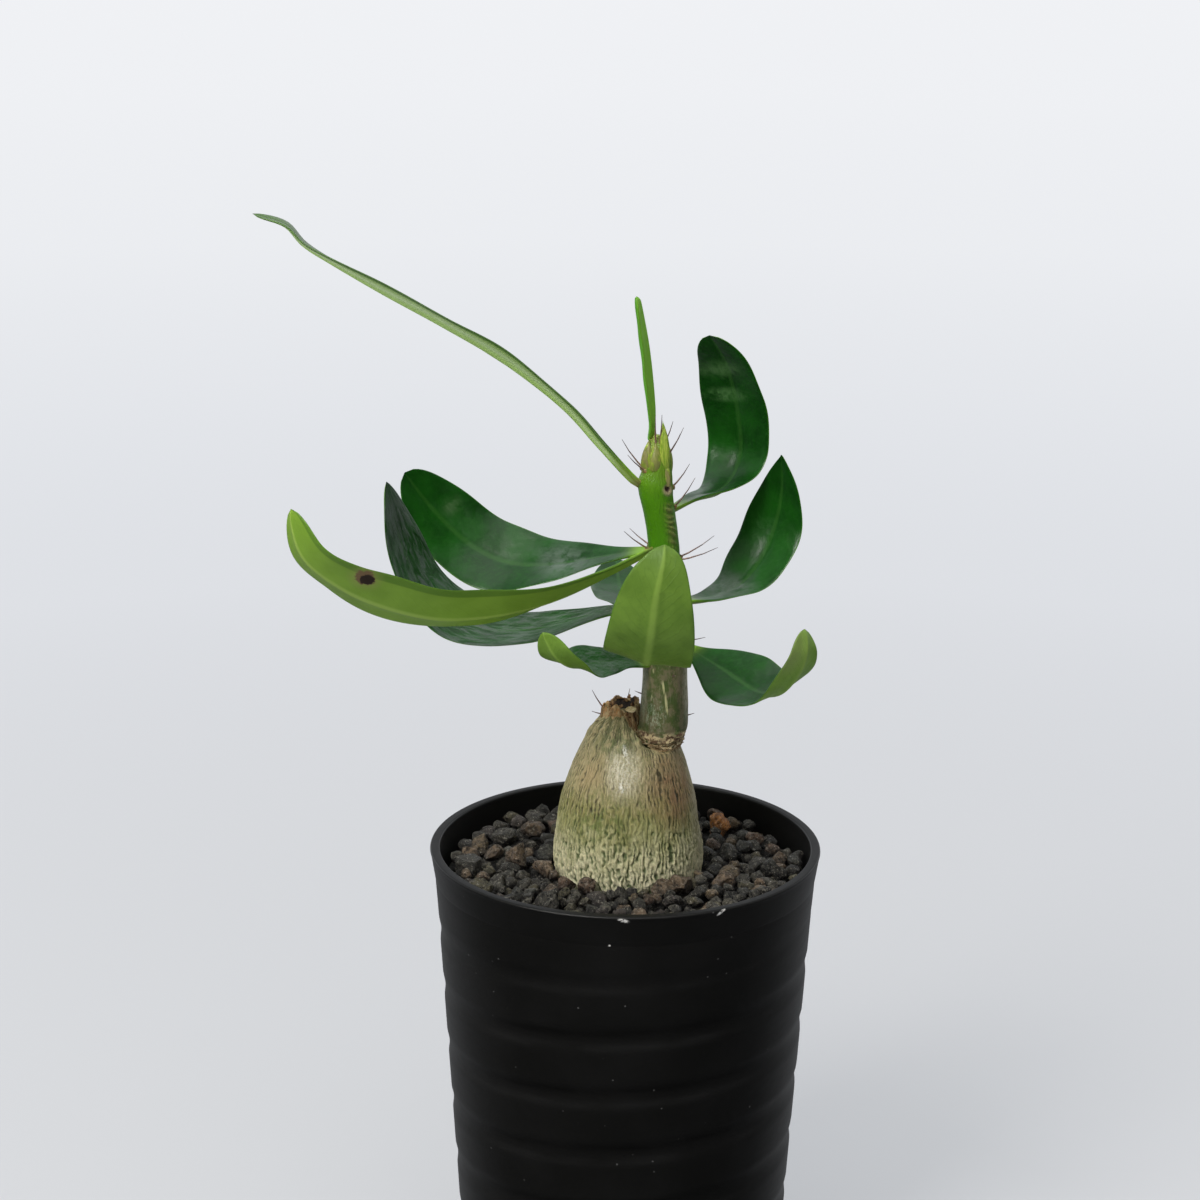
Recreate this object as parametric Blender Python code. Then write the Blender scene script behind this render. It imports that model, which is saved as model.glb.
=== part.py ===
"""Potted pachypodium: a young plant with a swollen trunk in a tapered black nursery pot.

Metres, +Z up. The origin is the middle of the pot's foot, on the surface that the pot stands on.
-Y is the front, where the front leaf points. Lengths are written in millimetres times MM.
"""
import math
import random

import bmesh
import bpy
from mathutils import Matrix, Vector

MM = 0.001
GAP = 0.3 * MM  # clearance between neighbouring pieces

# Pot
POT_HEIGHT = 110 * MM
RIM_RADIUS = 45 * MM
BAND_HEIGHT = 7 * MM  # flared band under the rim
BAND_FOOT_RADIUS = 43.85 * MM
NECK_HEIGHT = 97 * MM  # from here down the wall has one even taper
NECK_RADIUS = 43.37 * MM
WALL_TAPER = 0.0626  # radius lost for each unit of height
WALL = 1.6 * MM
LIP_WIDTH = 2.3 * MM
LIP_HEIGHT = 2.4 * MM
LIP_ROUND = 0.6 * MM
FOOT_WIDTH = 4 * MM
FOOT_HEIGHT = 3 * MM
FLOOR = 2 * MM
FOOT_PAD_RADIUS = 8 * MM
FOOT_DRAFT = 0.5 * MM
DRAIN_RADIUS = 3.5 * MM
DRAIN_CIRCLE = 21 * MM
DRAIN_COUNT = 6
GROOVE_PITCH = 14.3 * MM  # one shallow groove winds up the wall like a screw thread
GROOVE_DEPTH = 0.5 * MM
GROOVE_WIDTH = 7 * MM
GROOVE_FRONT = 94 * MM  # a height at which the groove crosses the front
GROOVE_FADE = 6 * MM
ROWS_A_PITCH = 4
POT_SEGMENTS = 36

# Grit
BED_TOP = 105.2 * MM
BED_SEGMENTS = POT_SEGMENTS
GRAIN_COUNT = 135
GRAIN_RADII = (1.9 * MM, 4.2 * MM)
GRAIN_SQUASH = 0.72  # shortest axis of a grain against its longest
GRAIN_SINK = 0.22  # part of its radius that a grain's middle lies above the bed
GRAIN_SPACING = 0.74  # how near two grains' middles come, against their radii
GRAIN_CLEAR = 1.5 * MM  # least distance from a grain's middle sphere to the trunk
GRAIN_TRIES = 200
GRAIN_SEED = 41

# Swollen trunk: height, radius and the middle's offset to the right at each level
CAUDEX_LEVELS = (
    (70, 1.4, 0.4), (80, 3.0, 0.4), (88, 6.0, 0.6), (94, 10.4, 0.8), (99, 14.2, 0.9), (104, 16.6, 0.9),
    (109, 17.2, 0.8), (116, 16.4, 0.6), (123, 15.1, 0.7), (129.5, 13.1, 0.9), (134.5, 11.1, 1.2),
    (138, 9.0, 1.0), (140.5, 6.6, 0.4), (142, 3.6, -0.4),
)
CAUDEX_SEGMENTS = 24
CAUDEX_STEPS = 16
CAUDEX_LOBES = ((3, 0.010), (5, 0.008))  # bulges round the trunk: how many, and how high against the radius
CAUDEX_SWELL = 1.02  # most that the bulges add
ROOT_TIP = 2  # the taproot's point below the lowest level, in millimetres
PLANT_HOLE_TOP = BED_TOP + 12 * MM
STUMP_PLACE = (-1.3 * MM, 1.0 * MM)
STUMP_FOOT = 136 * MM
STUMP_TOP = 143.6 * MM
STUMP_RADIUS = 3.9 * MM
STUMP_PROFILE = ((0, 1.12, 0.1), (0.45, 1.0, 0.1), (0.8, 0.98, 0.1), (1.0, 0.8, 0.5))  # up it, radius, jag
STUMP_SEED = 7

# Young shoot: middle's x and y, height, radius
STEM_LEVELS = (
    (7.4, -2.2, 135.2, 4.4), (7.8, -2.1, 137, 5.2), (8.1, -1.8, 139.5, 5.35), (8.4, -1.2, 145.5, 5.1),
    (8.6, -1.0, 151, 5.1), (8.5, -1.0, 157, 4.9), (8.4, -0.6, 163, 4.5), (8.2, -0.2, 170, 4.0),
    (8.1, 0.0, 176, 3.65), (7.9, 0.0, 181.5, 3.5), (7.5, 0.0, 185.5, 3.45), (6.9, 0.0, 189.2, 3.5),
    (6.1, 0.0, 193.2, 3.9), (5.8, 0.0, 196.2, 4.0), (6.2, 0.0, 198.7, 3.2), (6.4, 0.0, 201, 3.0),
    (6.1, 0.0, 204.2, 2.7), (6.1, 0.0, 206.3, 2.1), (6.4, 0.0, 207.6, 1.0),
)
STEM_SEGMENTS = 12
STEM_STEPS = 24
SOCKET_TOP = 150  # the hollow for the shoot's foot is cut this high, clear above the trunk
SOCKET_STEPS = 6

# Spines: height, azimuth (0 right, 90 back), rise in degrees and length in millimetres
SPINES = (
    (178.8, 8, 30, 9.2), (178.4, -8, 20, 9.2), (181.0, 190, 36, 7.0), (181.3, 152, 30, 6.0),
    (199.4, 176, 52, 8.0), (199.2, 214, 40, 6.5), (190.4, 8, 54, 8.0), (190.2, 72, 36, 6.5),
    (195.4, -10, 54, 6.5), (202.6, -8, 60, 5.5), (202.2, 24, 56, 7.0), (204.6, 30, 64, 5.5),
    (205.6, 258, 84, 6.0), (205.6, -66, 80, 6.5), (159.4, 10, 4, 4.8), (160.8, -44, 18, 4.0),
    (169.8, 60, 24, 5.0), (166.4, 140, 24, 5.0), (157.6, 236, 20, 4.0), (147.0, 182, 20, 1.8),
    (142.0, 0, 15, 1.6), (152.6, -70, 18, 2.0),
)
STUMP_SPINES = ((142.6, 176, 56, 5.0), (141.4, 188, 14, 3.0), (140.4, 200, -6, 2.6), (142.8, 70, 50, 3.5))
SPINE_RADIUS = 0.42 * MM
SPINE_TIP_RADIUS = 0.1 * MM
SPINE_ROOT = 1.6 * MM  # depth to which a spine is sunk

# Small folded sheaths round the growing tip: azimuth, height of the foot, length, radius, lean
SHEATH_PROFILE = ((0, 0.7), (0.3, 1.0), (0.7, 0.62), (1.0, 0.12))  # along it, and share of its radius
SHEATHS = (
    (20, 200.5, 7.0, 1.5, 8), (-70, 199.6, 8.0, 1.6, 6), (250, 202.6, 7.0, 1.2, 4), (110, 201, 6.5, 1.4, 6),
)

# Leaves. height and azimuth say where a leaf leaves the shoot. path is its midrib, in offsets from
# that root. sides are the directions of its right-hand margin, looking out along the leaf with the
# upper face up, from root to tip. widest is where along the leaf it is widest, a larger tip makes a
# sharper one, and fold lifts the margins, against the half width.
LEAVES = {
    "leaf_left_high": dict(
        height=197.2, azimuth=188, width=15, widest=0.6, tip=0.62, fold=0.08,
        path=((-7.8, -1, 8.4), (-16, -3, 17.4), (-29, -5, 27.8), (-42, -7, 35.9), (-55, -9, 43.4),
              (-66, -10, 50), (-72, -10, 53.8), (-76, -10, 58), (-83, -10, 60.2)),
        sides=((-0.2, 0.95, -0.14), (-0.2, 0.95, -0.15), (-0.2, 0.95, -0.16), (-0.2, 0.95, -0.16),
               (-0.18, 0.95, -0.14), (-0.1, 0.95, -0.1), (0.05, 0.9, 0.2))),
    "leaf_young": dict(
        height=205.6, azimuth=165, width=4.4, widest=0.5, tip=0.62, fold=0.5,
        path=((0.4, -0.6, 4.2), (0, -1.4, 12.3), (-0.9, -2.4, 21.5), (-2.2, -3.4, 29.5), (-2.9, -3.4, 33)),
        sides=((0.1, -0.98, 0.1), (0.1, -0.98, 0.1))),
    "leaf_right_high": dict(
        height=189.8, azimuth=40, width=18, widest=0.6, tip=0.52, fold=0.12,
        path=((5, 6, 1), (10.5, 12.5, 0.8), (14, 18, 2.8), (15.8, 21.5, 7.5), (15.5, 22, 14), (14, 20.5, 22),
              (11.8, 17.5, 29.5), (8, 13, 36.5)),
        sides=((0.75, -0.65, 0.1), (0.78, -0.6, 0.12), (0.8, -0.6, 0), (0.85, -0.5, 0.1))),
    "leaf_right_middle": dict(
        height=168.5, azimuth=24, width=16.5, widest=0.54, tip=1.05, fold=0.12,
        path=((7, 5, -0.5), (13.5, 10, 1), (18.5, 14.5, 6.5), (21.4, 16.5, 13.5), (22.6, 16, 21),
              (22.2, 13, 30.5)),
        sides=((0.6, -0.8, 0), (0.7, -0.7, -0.1), (0.78, -0.6, -0.1), (0.8, -0.55, 0))),
    "leaf_right_low": dict(
        height=158.5, azimuth=-20, width=16.5, widest=0.42, tip=0.62, fold=0.12,
        path=((7.5, -8.5, -2.2), (14.5, -18.5, -4), (19, -24.5, -2.5), (22.5, -27.5, 2), (24.5, -28.5, 7.5),
              (24.5, -26.5, 12.5)),
        sides=((-0.7, -0.6, -0.3), (-0.7, -0.5, -0.45), (-0.7, -0.6, -0.2), (-0.7, -0.65, 0))),
    "leaf_front": dict(
        height=167.0, azimuth=-92, width=19, widest=0.62, tip=0.56, fold=0.10,
        path=((-0.3, -12, 1), (-2.5, -28, 0.5), (-4.3, -40, 1.5), (-3.8, -48, 9), (-2.8, -50, 18.5),
              (-1.4, -49, 25.5), (-1, -47, 29)),
        sides=((-1, 0, 0), (-0.98, 0, 0.1), (-0.97, 0, 0.2), (-0.97, 0.1, 0.15))),
    "leaf_left_front": dict(
        height=181.0, azimuth=206, width=18, widest=0.66, tip=0.62, fold=0.12,
        path=((-9.5, -3, -4.5), (-18.5, -7, -7.8), (-27, -10, -9.8), (-36, -13, -10.6), (-46.5, -16, -10),
              (-57.5, -18, -6.8), (-66.5, -20, -2.2), (-74, -21, 4.2), (-77.5, -20, 14)),
        sides=((-0.2, 0.8, -0.5), (-0.2, 0.62, -0.75), (-0.3, 0.62, -0.7), (-0.7, 0.63, -0.25))),
    "leaf_left_back": dict(
        height=180.0, azimuth=146, width=19.5, widest=0.62, tip=0.55, fold=0.12,
        path=((-10, 5, -3), (-20, 10, -6.2), (-28.5, 14, -7.8), (-36, 17, -6.8), (-43, 19, -2.8),
              (-50, 19, 4.5), (-55.8, 17, 13)),
        sides=((0.3, 0.85, 0.3), (0.35, 0.75, 0.5), (0.45, 0.65, 0.6), (0.57, 0.5, 0.56))),
    "leaf_left_middle": dict(
        height=167.0, azimuth=178, width=18.5, widest=0.58, tip=0.8, fold=0.12,
        path=((-8, 1, -1), (-19, 2, -4.5), (-26, 2, -6), (-35, 2, -6), (-44, 2, -2.5), (-51, 2, 5.5),
              (-55, 1, 16.5), (-57.5, -1, 29)),
        sides=((0, 0.97, 0.2), (0, 0.97, 0.26), (0.3, 0.9, 0.3), (0.48, 0.86, 0.1))),
    "leaf_back": dict(
        height=162.9, azimuth=112, width=16, widest=0.6, tip=0.62, fold=0.12,
        path=((-2, 8, -0.4), (-5, 19, -1.2), (-8, 31, -1), (-9, 40, 3)),
        sides=((0.95, 0.3, 0), (0.95, 0.25, 0))),
    "leaf_left_low": dict(
        height=155.2, azimuth=214, width=11, widest=0.6, tip=0.62, fold=0.10,
        path=((-5.7, -4, 0.8), (-10.6, -9, 1.2), (-15.8, -14.5, 2.2), (-19.6, -18, 6.4),
              (-22.6, -18.6, 12.4)),
        sides=((-0.6, 0.7, 0.3), (-0.5, 0.65, 0.5), (-0.5, 0.65, 0.45), (-0.7, 0.5, -0.1),
               (-0.8, 0.3, -0.4))),
}
LEAF_STEPS = 15
LEAF_COLUMNS = (-1.0, -0.5, 0.0, 0.5, 1.0)
PETIOLE_HALF = 1.2 * MM
PETIOLE_SHARE = 0.18  # most of a small leaf's width that its petiole's half width takes
PETIOLE_DEPTH = 1.8  # thickness against the half width
BLADE_EDGE = 0.65 * MM
BLADE_MIDDLE = 1.1 * MM
BLADE_START = 0.30  # part of the length over which the petiole flattens into the blade
TIP_HALF = 0.5 * MM
MARGIN_WAVE = 0.04  # against the half width
MARGIN_TURNS = 23  # how fast the wave runs along the leaf

COLOURS = {  # red, green, blue, roughness
    "pot": (0.012, 0.012, 0.011, 0.42),
    "substrate": (0.075, 0.062, 0.050, 0.95),
    "caudex": (0.36, 0.33, 0.21, 0.75),
    "stem": (0.12, 0.20, 0.04, 0.5),
    "leaf": (0.020, 0.090, 0.012, 0.32),
}


def clear_scene():
    for obj in list(bpy.data.objects):
        bpy.data.objects.remove(obj, do_unlink=True)


def material_for(name, kind):
    red, green, blue, roughness = COLOURS[kind]
    material = bpy.data.materials.new(name)
    material.use_nodes = True
    shader = material.node_tree.nodes["Principled BSDF"]
    shader.inputs["Base Color"].default_value = (red, green, blue, 1.0)
    shader.inputs["Roughness"].default_value = roughness
    shader.inputs["Metallic"].default_value = 0.0
    return material


def object_from(bm, name, collection=None):
    """A mesh object from bm, triangulated, with its faces pointing out."""
    bmesh.ops.triangulate(bm, faces=bm.faces[:])
    bmesh.ops.recalc_face_normals(bm, faces=bm.faces[:])
    mesh = bpy.data.meshes.new(name)
    bm.to_mesh(mesh)
    bm.free()
    obj = bpy.data.objects.new(name, mesh)
    (collection or bpy.context.scene.collection).objects.link(obj)
    return obj


def finish(obj, kind):
    obj.data.materials.clear()
    obj.data.materials.append(material_for(obj.name, kind))
    obj.data.shade_smooth()
    obj.data.set_sharp_from_angle(angle=math.radians(40))


def skin(rings, mirror_half=False):
    """A closed mesh through rings of points. A ring of one point is a pole; other ends are flat.

    mirror_half turns the diagonals of each ring's second half round, so that the two faces of a
    blade are split into triangles alike.
    """
    bm = bmesh.new()
    rows = [[bm.verts.new(point) for point in ring] for ring in rings]
    for low, high in zip(rows, rows[1:]):
        count = max(len(low), len(high))
        for j in range(count):
            k = (j + 1) % count
            if len(low) == 1:
                bm.faces.new((low[0], high[k], high[j]))
            elif len(high) == 1:
                bm.faces.new((low[j], low[k], high[0]))
            elif mirror_half and j >= count // 2:
                bm.faces.new((low[j], low[k], high[j]))
                bm.faces.new((low[k], high[k], high[j]))
            else:
                bm.faces.new((low[j], low[k], high[k]))
                bm.faces.new((low[j], high[k], high[j]))
    for ring in (rows[0], rows[-1]):
        if len(ring) > 1:
            bm.faces.new(ring)
    return bm


def ring_round(middle, radius, segments, turn=0.0):
    """Points of a level circle; radius is a number or a function of the angle."""
    points = []
    for j in range(segments):
        angle = 2 * math.pi * j / segments + turn
        reach = radius(angle) if callable(radius) else radius
        across = Vector((math.cos(angle), math.sin(angle), 0)) * reach
        points.append(Vector(middle) + across)
    return points


def apply_modifiers(obj):
    depsgraph = bpy.context.evaluated_depsgraph_get()
    mesh = bpy.data.meshes.new_from_object(obj.evaluated_get(depsgraph))
    obj.modifiers.clear()
    obj.data = mesh


def boolean(obj, operation, collection, solver="EXACT"):
    """Join obj with, or cut it by, everything in a collection, which is then removed."""
    modifier = obj.modifiers.new("Boolean", "BOOLEAN")
    modifier.operation = operation
    modifier.operand_type = "COLLECTION"
    modifier.collection = collection
    modifier.solver = solver
    apply_modifiers(obj)
    for tool in list(collection.objects):
        bpy.data.objects.remove(tool, do_unlink=True)
    bpy.data.collections.remove(collection)


def tool_collection(name):
    collection = bpy.data.collections.new(name)
    bpy.context.scene.collection.children.link(collection)
    return collection


def on_curve(points, part):
    """The vector at a part, from 0 to 1, of a smooth curve with equal time between its points."""
    ends = [points[0] * 2 - points[1]] + list(points) + [points[-1] * 2 - points[-2]]
    place = min(max(part, 0.0), 1.0) * (len(points) - 1)
    index = min(int(place), len(points) - 2)
    t = place - index
    a, b, c, d = ends[index:index + 4]
    bend = (2 * a - 5 * b + 4 * c - d) * t ** 2 + (3 * b - a - 3 * c + d) * t ** 3
    return 0.5 * (2 * b + (c - a) * t + bend)


def curve_through(points, steps):
    """steps + 1 evenly spaced vectors on a smooth curve through the given ones."""
    fine = 24 * (len(points) - 1)
    dense = [on_curve(points, i / fine) for i in range(fine + 1)]
    reach = [0.0]
    for a, b in zip(dense, dense[1:]):
        reach.append(reach[-1] + (b - a).length)
    result = []
    index = 0
    for i in range(steps + 1):
        want = reach[-1] * i / steps
        while index < len(dense) - 2 and reach[index + 1] < want:
            index += 1
        span = reach[index + 1] - reach[index]
        result.append(dense[index].lerp(dense[index + 1], (want - reach[index]) / span))
    return result


def between(levels, value, key):
    """Linear reading of a table of tuples, sorted by column key, at value."""
    for low, high in zip(levels, levels[1:]):
        if value <= high[key]:
            break
    part = min(max((value - low[key]) / (high[key] - low[key]), 0.0), 1.0)
    return tuple(a + (b - a) * part for a, b in zip(low, high))


def wall_radius(height):
    """The pot's smooth outer radius at a height, without its groove."""
    if height >= POT_HEIGHT - BAND_HEIGHT:
        part = (POT_HEIGHT - height) / BAND_HEIGHT
        return RIM_RADIUS + (BAND_FOOT_RADIUS - RIM_RADIUS) * part
    if height >= NECK_HEIGHT:
        part = (POT_HEIGHT - BAND_HEIGHT - height) / (POT_HEIGHT - BAND_HEIGHT - NECK_HEIGHT)
        return BAND_FOOT_RADIUS + (NECK_RADIUS - BAND_FOOT_RADIUS) * part
    return NECK_RADIUS - (NECK_HEIGHT - height) * WALL_TAPER


def groove_depth(angle, height):
    """Depth of the winding groove, rising to the right over the front."""
    around = (angle + math.pi / 2) / (2 * math.pi)
    turns = (height - GROOVE_FRONT) / GROOVE_PITCH - around
    off = abs(turns - round(turns)) * GROOVE_PITCH
    shape = max(0.0, 1 - (2 * off / GROOVE_WIDTH) ** 2)
    from_end = min(NECK_HEIGHT - height, height - GROOVE_FADE)
    return GROOVE_DEPTH * shape * min(1.0, max(0.0, from_end / GROOVE_FADE))


def make_pot():
    rings = [[Vector((0, 0, 0))]]

    def ring(radius, height):
        rings.append(ring_round((0, 0, height), radius, POT_SEGMENTS))

    foot = wall_radius(0)
    ring(FOOT_PAD_RADIUS, 0)
    ring(FOOT_PAD_RADIUS + FOOT_DRAFT, FOOT_HEIGHT)
    ring(foot - FOOT_WIDTH - FOOT_DRAFT, FOOT_HEIGHT)
    ring(foot - FOOT_WIDTH, 0)
    ring(foot - LIP_ROUND, 0)
    ring(wall_radius(LIP_ROUND), LIP_ROUND)
    rows = int((NECK_HEIGHT - GROOVE_FADE) / GROOVE_PITCH * ROWS_A_PITCH)
    for i in range(rows + 1):
        height = GROOVE_FADE + (NECK_HEIGHT - GROOVE_FADE) * i / rows
        ring(lambda angle: wall_radius(height) - groove_depth(angle, height), height)
    ring(BAND_FOOT_RADIUS - 0.15 * MM, POT_HEIGHT - BAND_HEIGHT - 0.3 * MM)
    ring(BAND_FOOT_RADIUS, POT_HEIGHT - BAND_HEIGHT)
    ring(wall_radius(POT_HEIGHT - LIP_ROUND), POT_HEIGHT - LIP_ROUND)
    ring(RIM_RADIUS - 0.3 * LIP_ROUND, POT_HEIGHT - 0.3 * LIP_ROUND)
    ring(RIM_RADIUS - LIP_ROUND, POT_HEIGHT)
    ring(RIM_RADIUS - LIP_WIDTH + LIP_ROUND, POT_HEIGHT)
    ring(RIM_RADIUS - LIP_WIDTH, POT_HEIGHT - LIP_ROUND)
    ring(RIM_RADIUS - LIP_WIDTH - 0.1 * MM, POT_HEIGHT - LIP_HEIGHT)
    ring(inner_radius(POT_HEIGHT - BAND_HEIGHT), POT_HEIGHT - BAND_HEIGHT)
    ring(inner_radius(FOOT_HEIGHT + FLOOR), FOOT_HEIGHT + FLOOR)
    rings.append([Vector((0, 0, FOOT_HEIGHT + FLOOR))])
    pot = object_from(skin(rings), "pot")

    drains = tool_collection("drains")
    for i in range(DRAIN_COUNT):
        angle = 2 * math.pi * i / DRAIN_COUNT
        place = (DRAIN_CIRCLE * math.cos(angle), DRAIN_CIRCLE * math.sin(angle))
        bore = [ring_round((*place, height), DRAIN_RADIUS, 12)
                for height in (FOOT_HEIGHT - MM, FOOT_HEIGHT + FLOOR + MM)]
        object_from(skin(bore), f"drain_{i}", drains)
    boolean(pot, "DIFFERENCE", drains)
    finish(pot, "pot")


def inner_radius(height):
    """The pot's inner radius at a height; the wall is even below the lip."""
    return min(wall_radius(height) - WALL, RIM_RADIUS - LIP_WIDTH - 0.1 * MM)


def caudex_rings(grow=0.0, top=None):
    """Rings of the swollen trunk, each point pushed out by grow."""
    levels = curve_through([Vector(level) for level in CAUDEX_LEVELS], CAUDEX_STEPS)
    rings = [[Vector((levels[0].z, 0, levels[0].x - ROOT_TIP)) * MM - Vector((0, 0, grow))]]
    for height, radius, shift in levels:
        if top and height * MM > top:
            break
        ring = []
        for j in range(CAUDEX_SEGMENTS):
            angle = 2 * math.pi * j / CAUDEX_SEGMENTS
            swell = sum(high * math.sin(count * angle + count) for count, high in CAUDEX_LOBES)
            reach = radius * (1 + swell) * MM + grow
            ring.append(Vector((shift * MM + reach * math.cos(angle), reach * math.sin(angle), height * MM)))
        rings.append(ring)
    return rings


def caudex_radius(height):
    return between(CAUDEX_LEVELS, height / MM, 0)[1] * MM


def make_substrate():
    floor = FOOT_HEIGHT + FLOOR + GAP
    rings = [[Vector((0, 0, floor))]]
    for height in (floor, BED_TOP):
        rings.append(ring_round((0, 0, height), inner_radius(height) - GAP, BED_SEGMENTS))
    rings.append([Vector((0, 0, BED_TOP))])
    bed = object_from(skin(rings), "substrate")

    plant = tool_collection("plant hole")
    object_from(skin(caudex_rings(GAP, PLANT_HOLE_TOP)), "plant_hole", plant)
    boolean(bed, "DIFFERENCE", plant)

    grains = tool_collection("grains")
    for i, (place, radius, turn) in enumerate(grain_places()):
        bm = bmesh.new()
        bmesh.ops.create_icosphere(bm, subdivisions=1, radius=radius)
        shape = Matrix.Rotation(turn[0], 4, "Z") @ Matrix.Rotation(turn[1], 4, "X")
        shape = shape @ Matrix.Diagonal((1.0, turn[2], turn[3], 1.0))
        bm.transform(Matrix.Translation(place) @ shape)
        object_from(bm, f"grain_{i}", grains)
    boolean(bed, "UNION", grains, "MANIFOLD")
    finish(bed, "substrate")


def grain_places():
    """Seeded places, radii and turns of the loose grains, the large ones first."""
    draw = random.Random(GRAIN_SEED)
    least, most = GRAIN_RADII
    placed = []
    for i in range(GRAIN_COUNT):
        size = most + (least - most) * (i / (GRAIN_COUNT - 1)) ** 0.6
        for _ in range(GRAIN_TRIES):
            radius = size * draw.uniform(0.9, 1.1)
            angle = draw.uniform(0, 2 * math.pi)
            height = BED_TOP + radius * GRAIN_SINK * draw.uniform(0.5, 1.3)
            nearest = caudex_radius(height + radius) * CAUDEX_SWELL + radius + GRAIN_CLEAR
            farthest = inner_radius(BED_TOP - radius) - GAP - radius
            reach = math.sqrt(draw.uniform(nearest ** 2, farthest ** 2))
            place = Vector((reach * math.cos(angle), reach * math.sin(angle), height))
            if all((place - other).length > GRAIN_SPACING * (radius + far) for other, far, _ in placed):
                turn = (draw.uniform(0, 6.28), draw.uniform(0, 6.28), draw.uniform(GRAIN_SQUASH, 1),
                        draw.uniform(GRAIN_SQUASH, 1))
                placed.append((place, radius, turn))
                break
    return placed


def spine(middle, radius, height, azimuth, rise, length, name, collection):
    """A three-sided needle that leaves a round stem at a height and azimuth."""
    around = math.radians(azimuth)
    out = Vector((math.cos(around), math.sin(around), 0))
    ahead = out * math.cos(math.radians(rise)) + Vector((0, 0, math.sin(math.radians(rise))))
    foot = Vector((middle[0], middle[1], height * MM)) + out * radius
    side = ahead.cross(Vector((0, 0, 1))).normalized()
    up = side.cross(ahead)
    rings = []
    needle = ((-SPINE_ROOT, SPINE_RADIUS), (0.3 * MM, SPINE_RADIUS), (length * MM, SPINE_TIP_RADIUS))
    for reach, thick in needle:
        rings.append([foot + ahead * reach + (side * math.cos(a) + up * math.sin(a)) * thick
                      for a in (0, 2 * math.pi / 3, 4 * math.pi / 3)])
    object_from(skin(rings), name, collection)


def make_caudex():
    caudex = object_from(skin(caudex_rings()), "caudex")
    extras = tool_collection("stump")
    draw = random.Random(STUMP_SEED)
    rings = []
    for part, flare, jag in STUMP_PROFILE:
        height = STUMP_FOOT + (STUMP_TOP - STUMP_FOOT) * part
        reach = STUMP_RADIUS * flare
        ring = ring_round((*STUMP_PLACE, height), lambda _: reach * draw.uniform(0.9, 1.08), 12)
        rings.append([point + Vector((0, 0, draw.uniform(-jag, jag) * MM)) for point in ring])
    rings.append([Vector((*STUMP_PLACE, STUMP_TOP - 0.8 * MM))])
    object_from(skin(rings), "stump_body", extras)
    for i, (height, azimuth, rise, length) in enumerate(STUMP_SPINES):
        spine(STUMP_PLACE, STUMP_RADIUS * 0.95, height, azimuth, rise, length, f"stump_spine_{i}", extras)
    boolean(caudex, "UNION", extras)

    socket = tool_collection("stem socket")
    object_from(skin(stem_rings(GAP, SOCKET_TOP)), "stem_socket", socket)
    boolean(caudex, "DIFFERENCE", socket)
    finish(caudex, "caudex")


def stem_rings(grow=0.0, top=None):
    """Rings of the shoot, each point pushed out by grow."""
    rings = []
    lowest = STEM_LEVELS[0][2]
    highest = top or STEM_LEVELS[-1][2]
    steps = SOCKET_STEPS if top else STEM_STEPS
    for i in range(steps + 1):
        height = lowest + (highest - lowest) * i / steps
        x, y, _, radius = between(STEM_LEVELS, height, 2)
        drop = grow if i == 0 else 0.0
        rings.append(ring_round((x * MM, y * MM, height * MM - drop), radius * MM + grow, STEM_SEGMENTS))
    return rings


def make_stem():
    stem = object_from(skin(stem_rings()), "stem")
    extras = tool_collection("spines and tip")
    for i, (height, azimuth, rise, length) in enumerate(SPINES):
        x, y, _, radius = between(STEM_LEVELS, height, 2)
        spine((x * MM, y * MM), radius * MM * 0.96, height, azimuth, rise, length, f"spine_{i}", extras)
    for i, (azimuth, foot, length, radius, lean) in enumerate(SHEATHS):
        x, y, _, stem_radius = between(STEM_LEVELS, foot, 2)
        out = Vector((math.cos(math.radians(azimuth)), math.sin(math.radians(azimuth)), 0))
        base = Vector((x, y, foot)) + out * (stem_radius - radius * 0.6)
        ahead = Vector((0, 0, 1)) + out * math.tan(math.radians(lean))
        rings = []
        for part, thick in SHEATH_PROFILE:
            rings.append(ring_round((base + ahead * length * part) * MM, radius * thick * MM, 6))
        object_from(skin(rings), f"sheath_{i}", extras)
    boolean(stem, "UNION", extras)
    finish(stem, "stem")


def petiole_half(leaf):
    return min(PETIOLE_HALF, PETIOLE_SHARE * leaf["width"] * MM)


def half_width(part, leaf):
    """Half the blade's width at a part of the leaf's length."""
    widest = leaf["widest"]
    full = leaf["width"] * MM / 2
    if part < widest:
        return petiole_half(leaf) + (full - petiole_half(leaf)) * math.sin(math.pi / 2 * part / widest) ** 1.7
    beyond = (part - widest) / (1 - widest)
    return max(full * (1 - beyond ** 2.2) ** leaf["tip"], TIP_HALF)


def leaf_root(leaf):
    """The point on the shoot's side, one gap out, where the petiole begins."""
    x, y, _, radius = between(STEM_LEVELS, leaf["height"], 2)
    around = math.radians(leaf["azimuth"])
    reach = radius * MM + 2 * GAP
    return Vector((x * MM + reach * math.cos(around), y * MM + reach * math.sin(around), leaf["height"] * MM))


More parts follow.
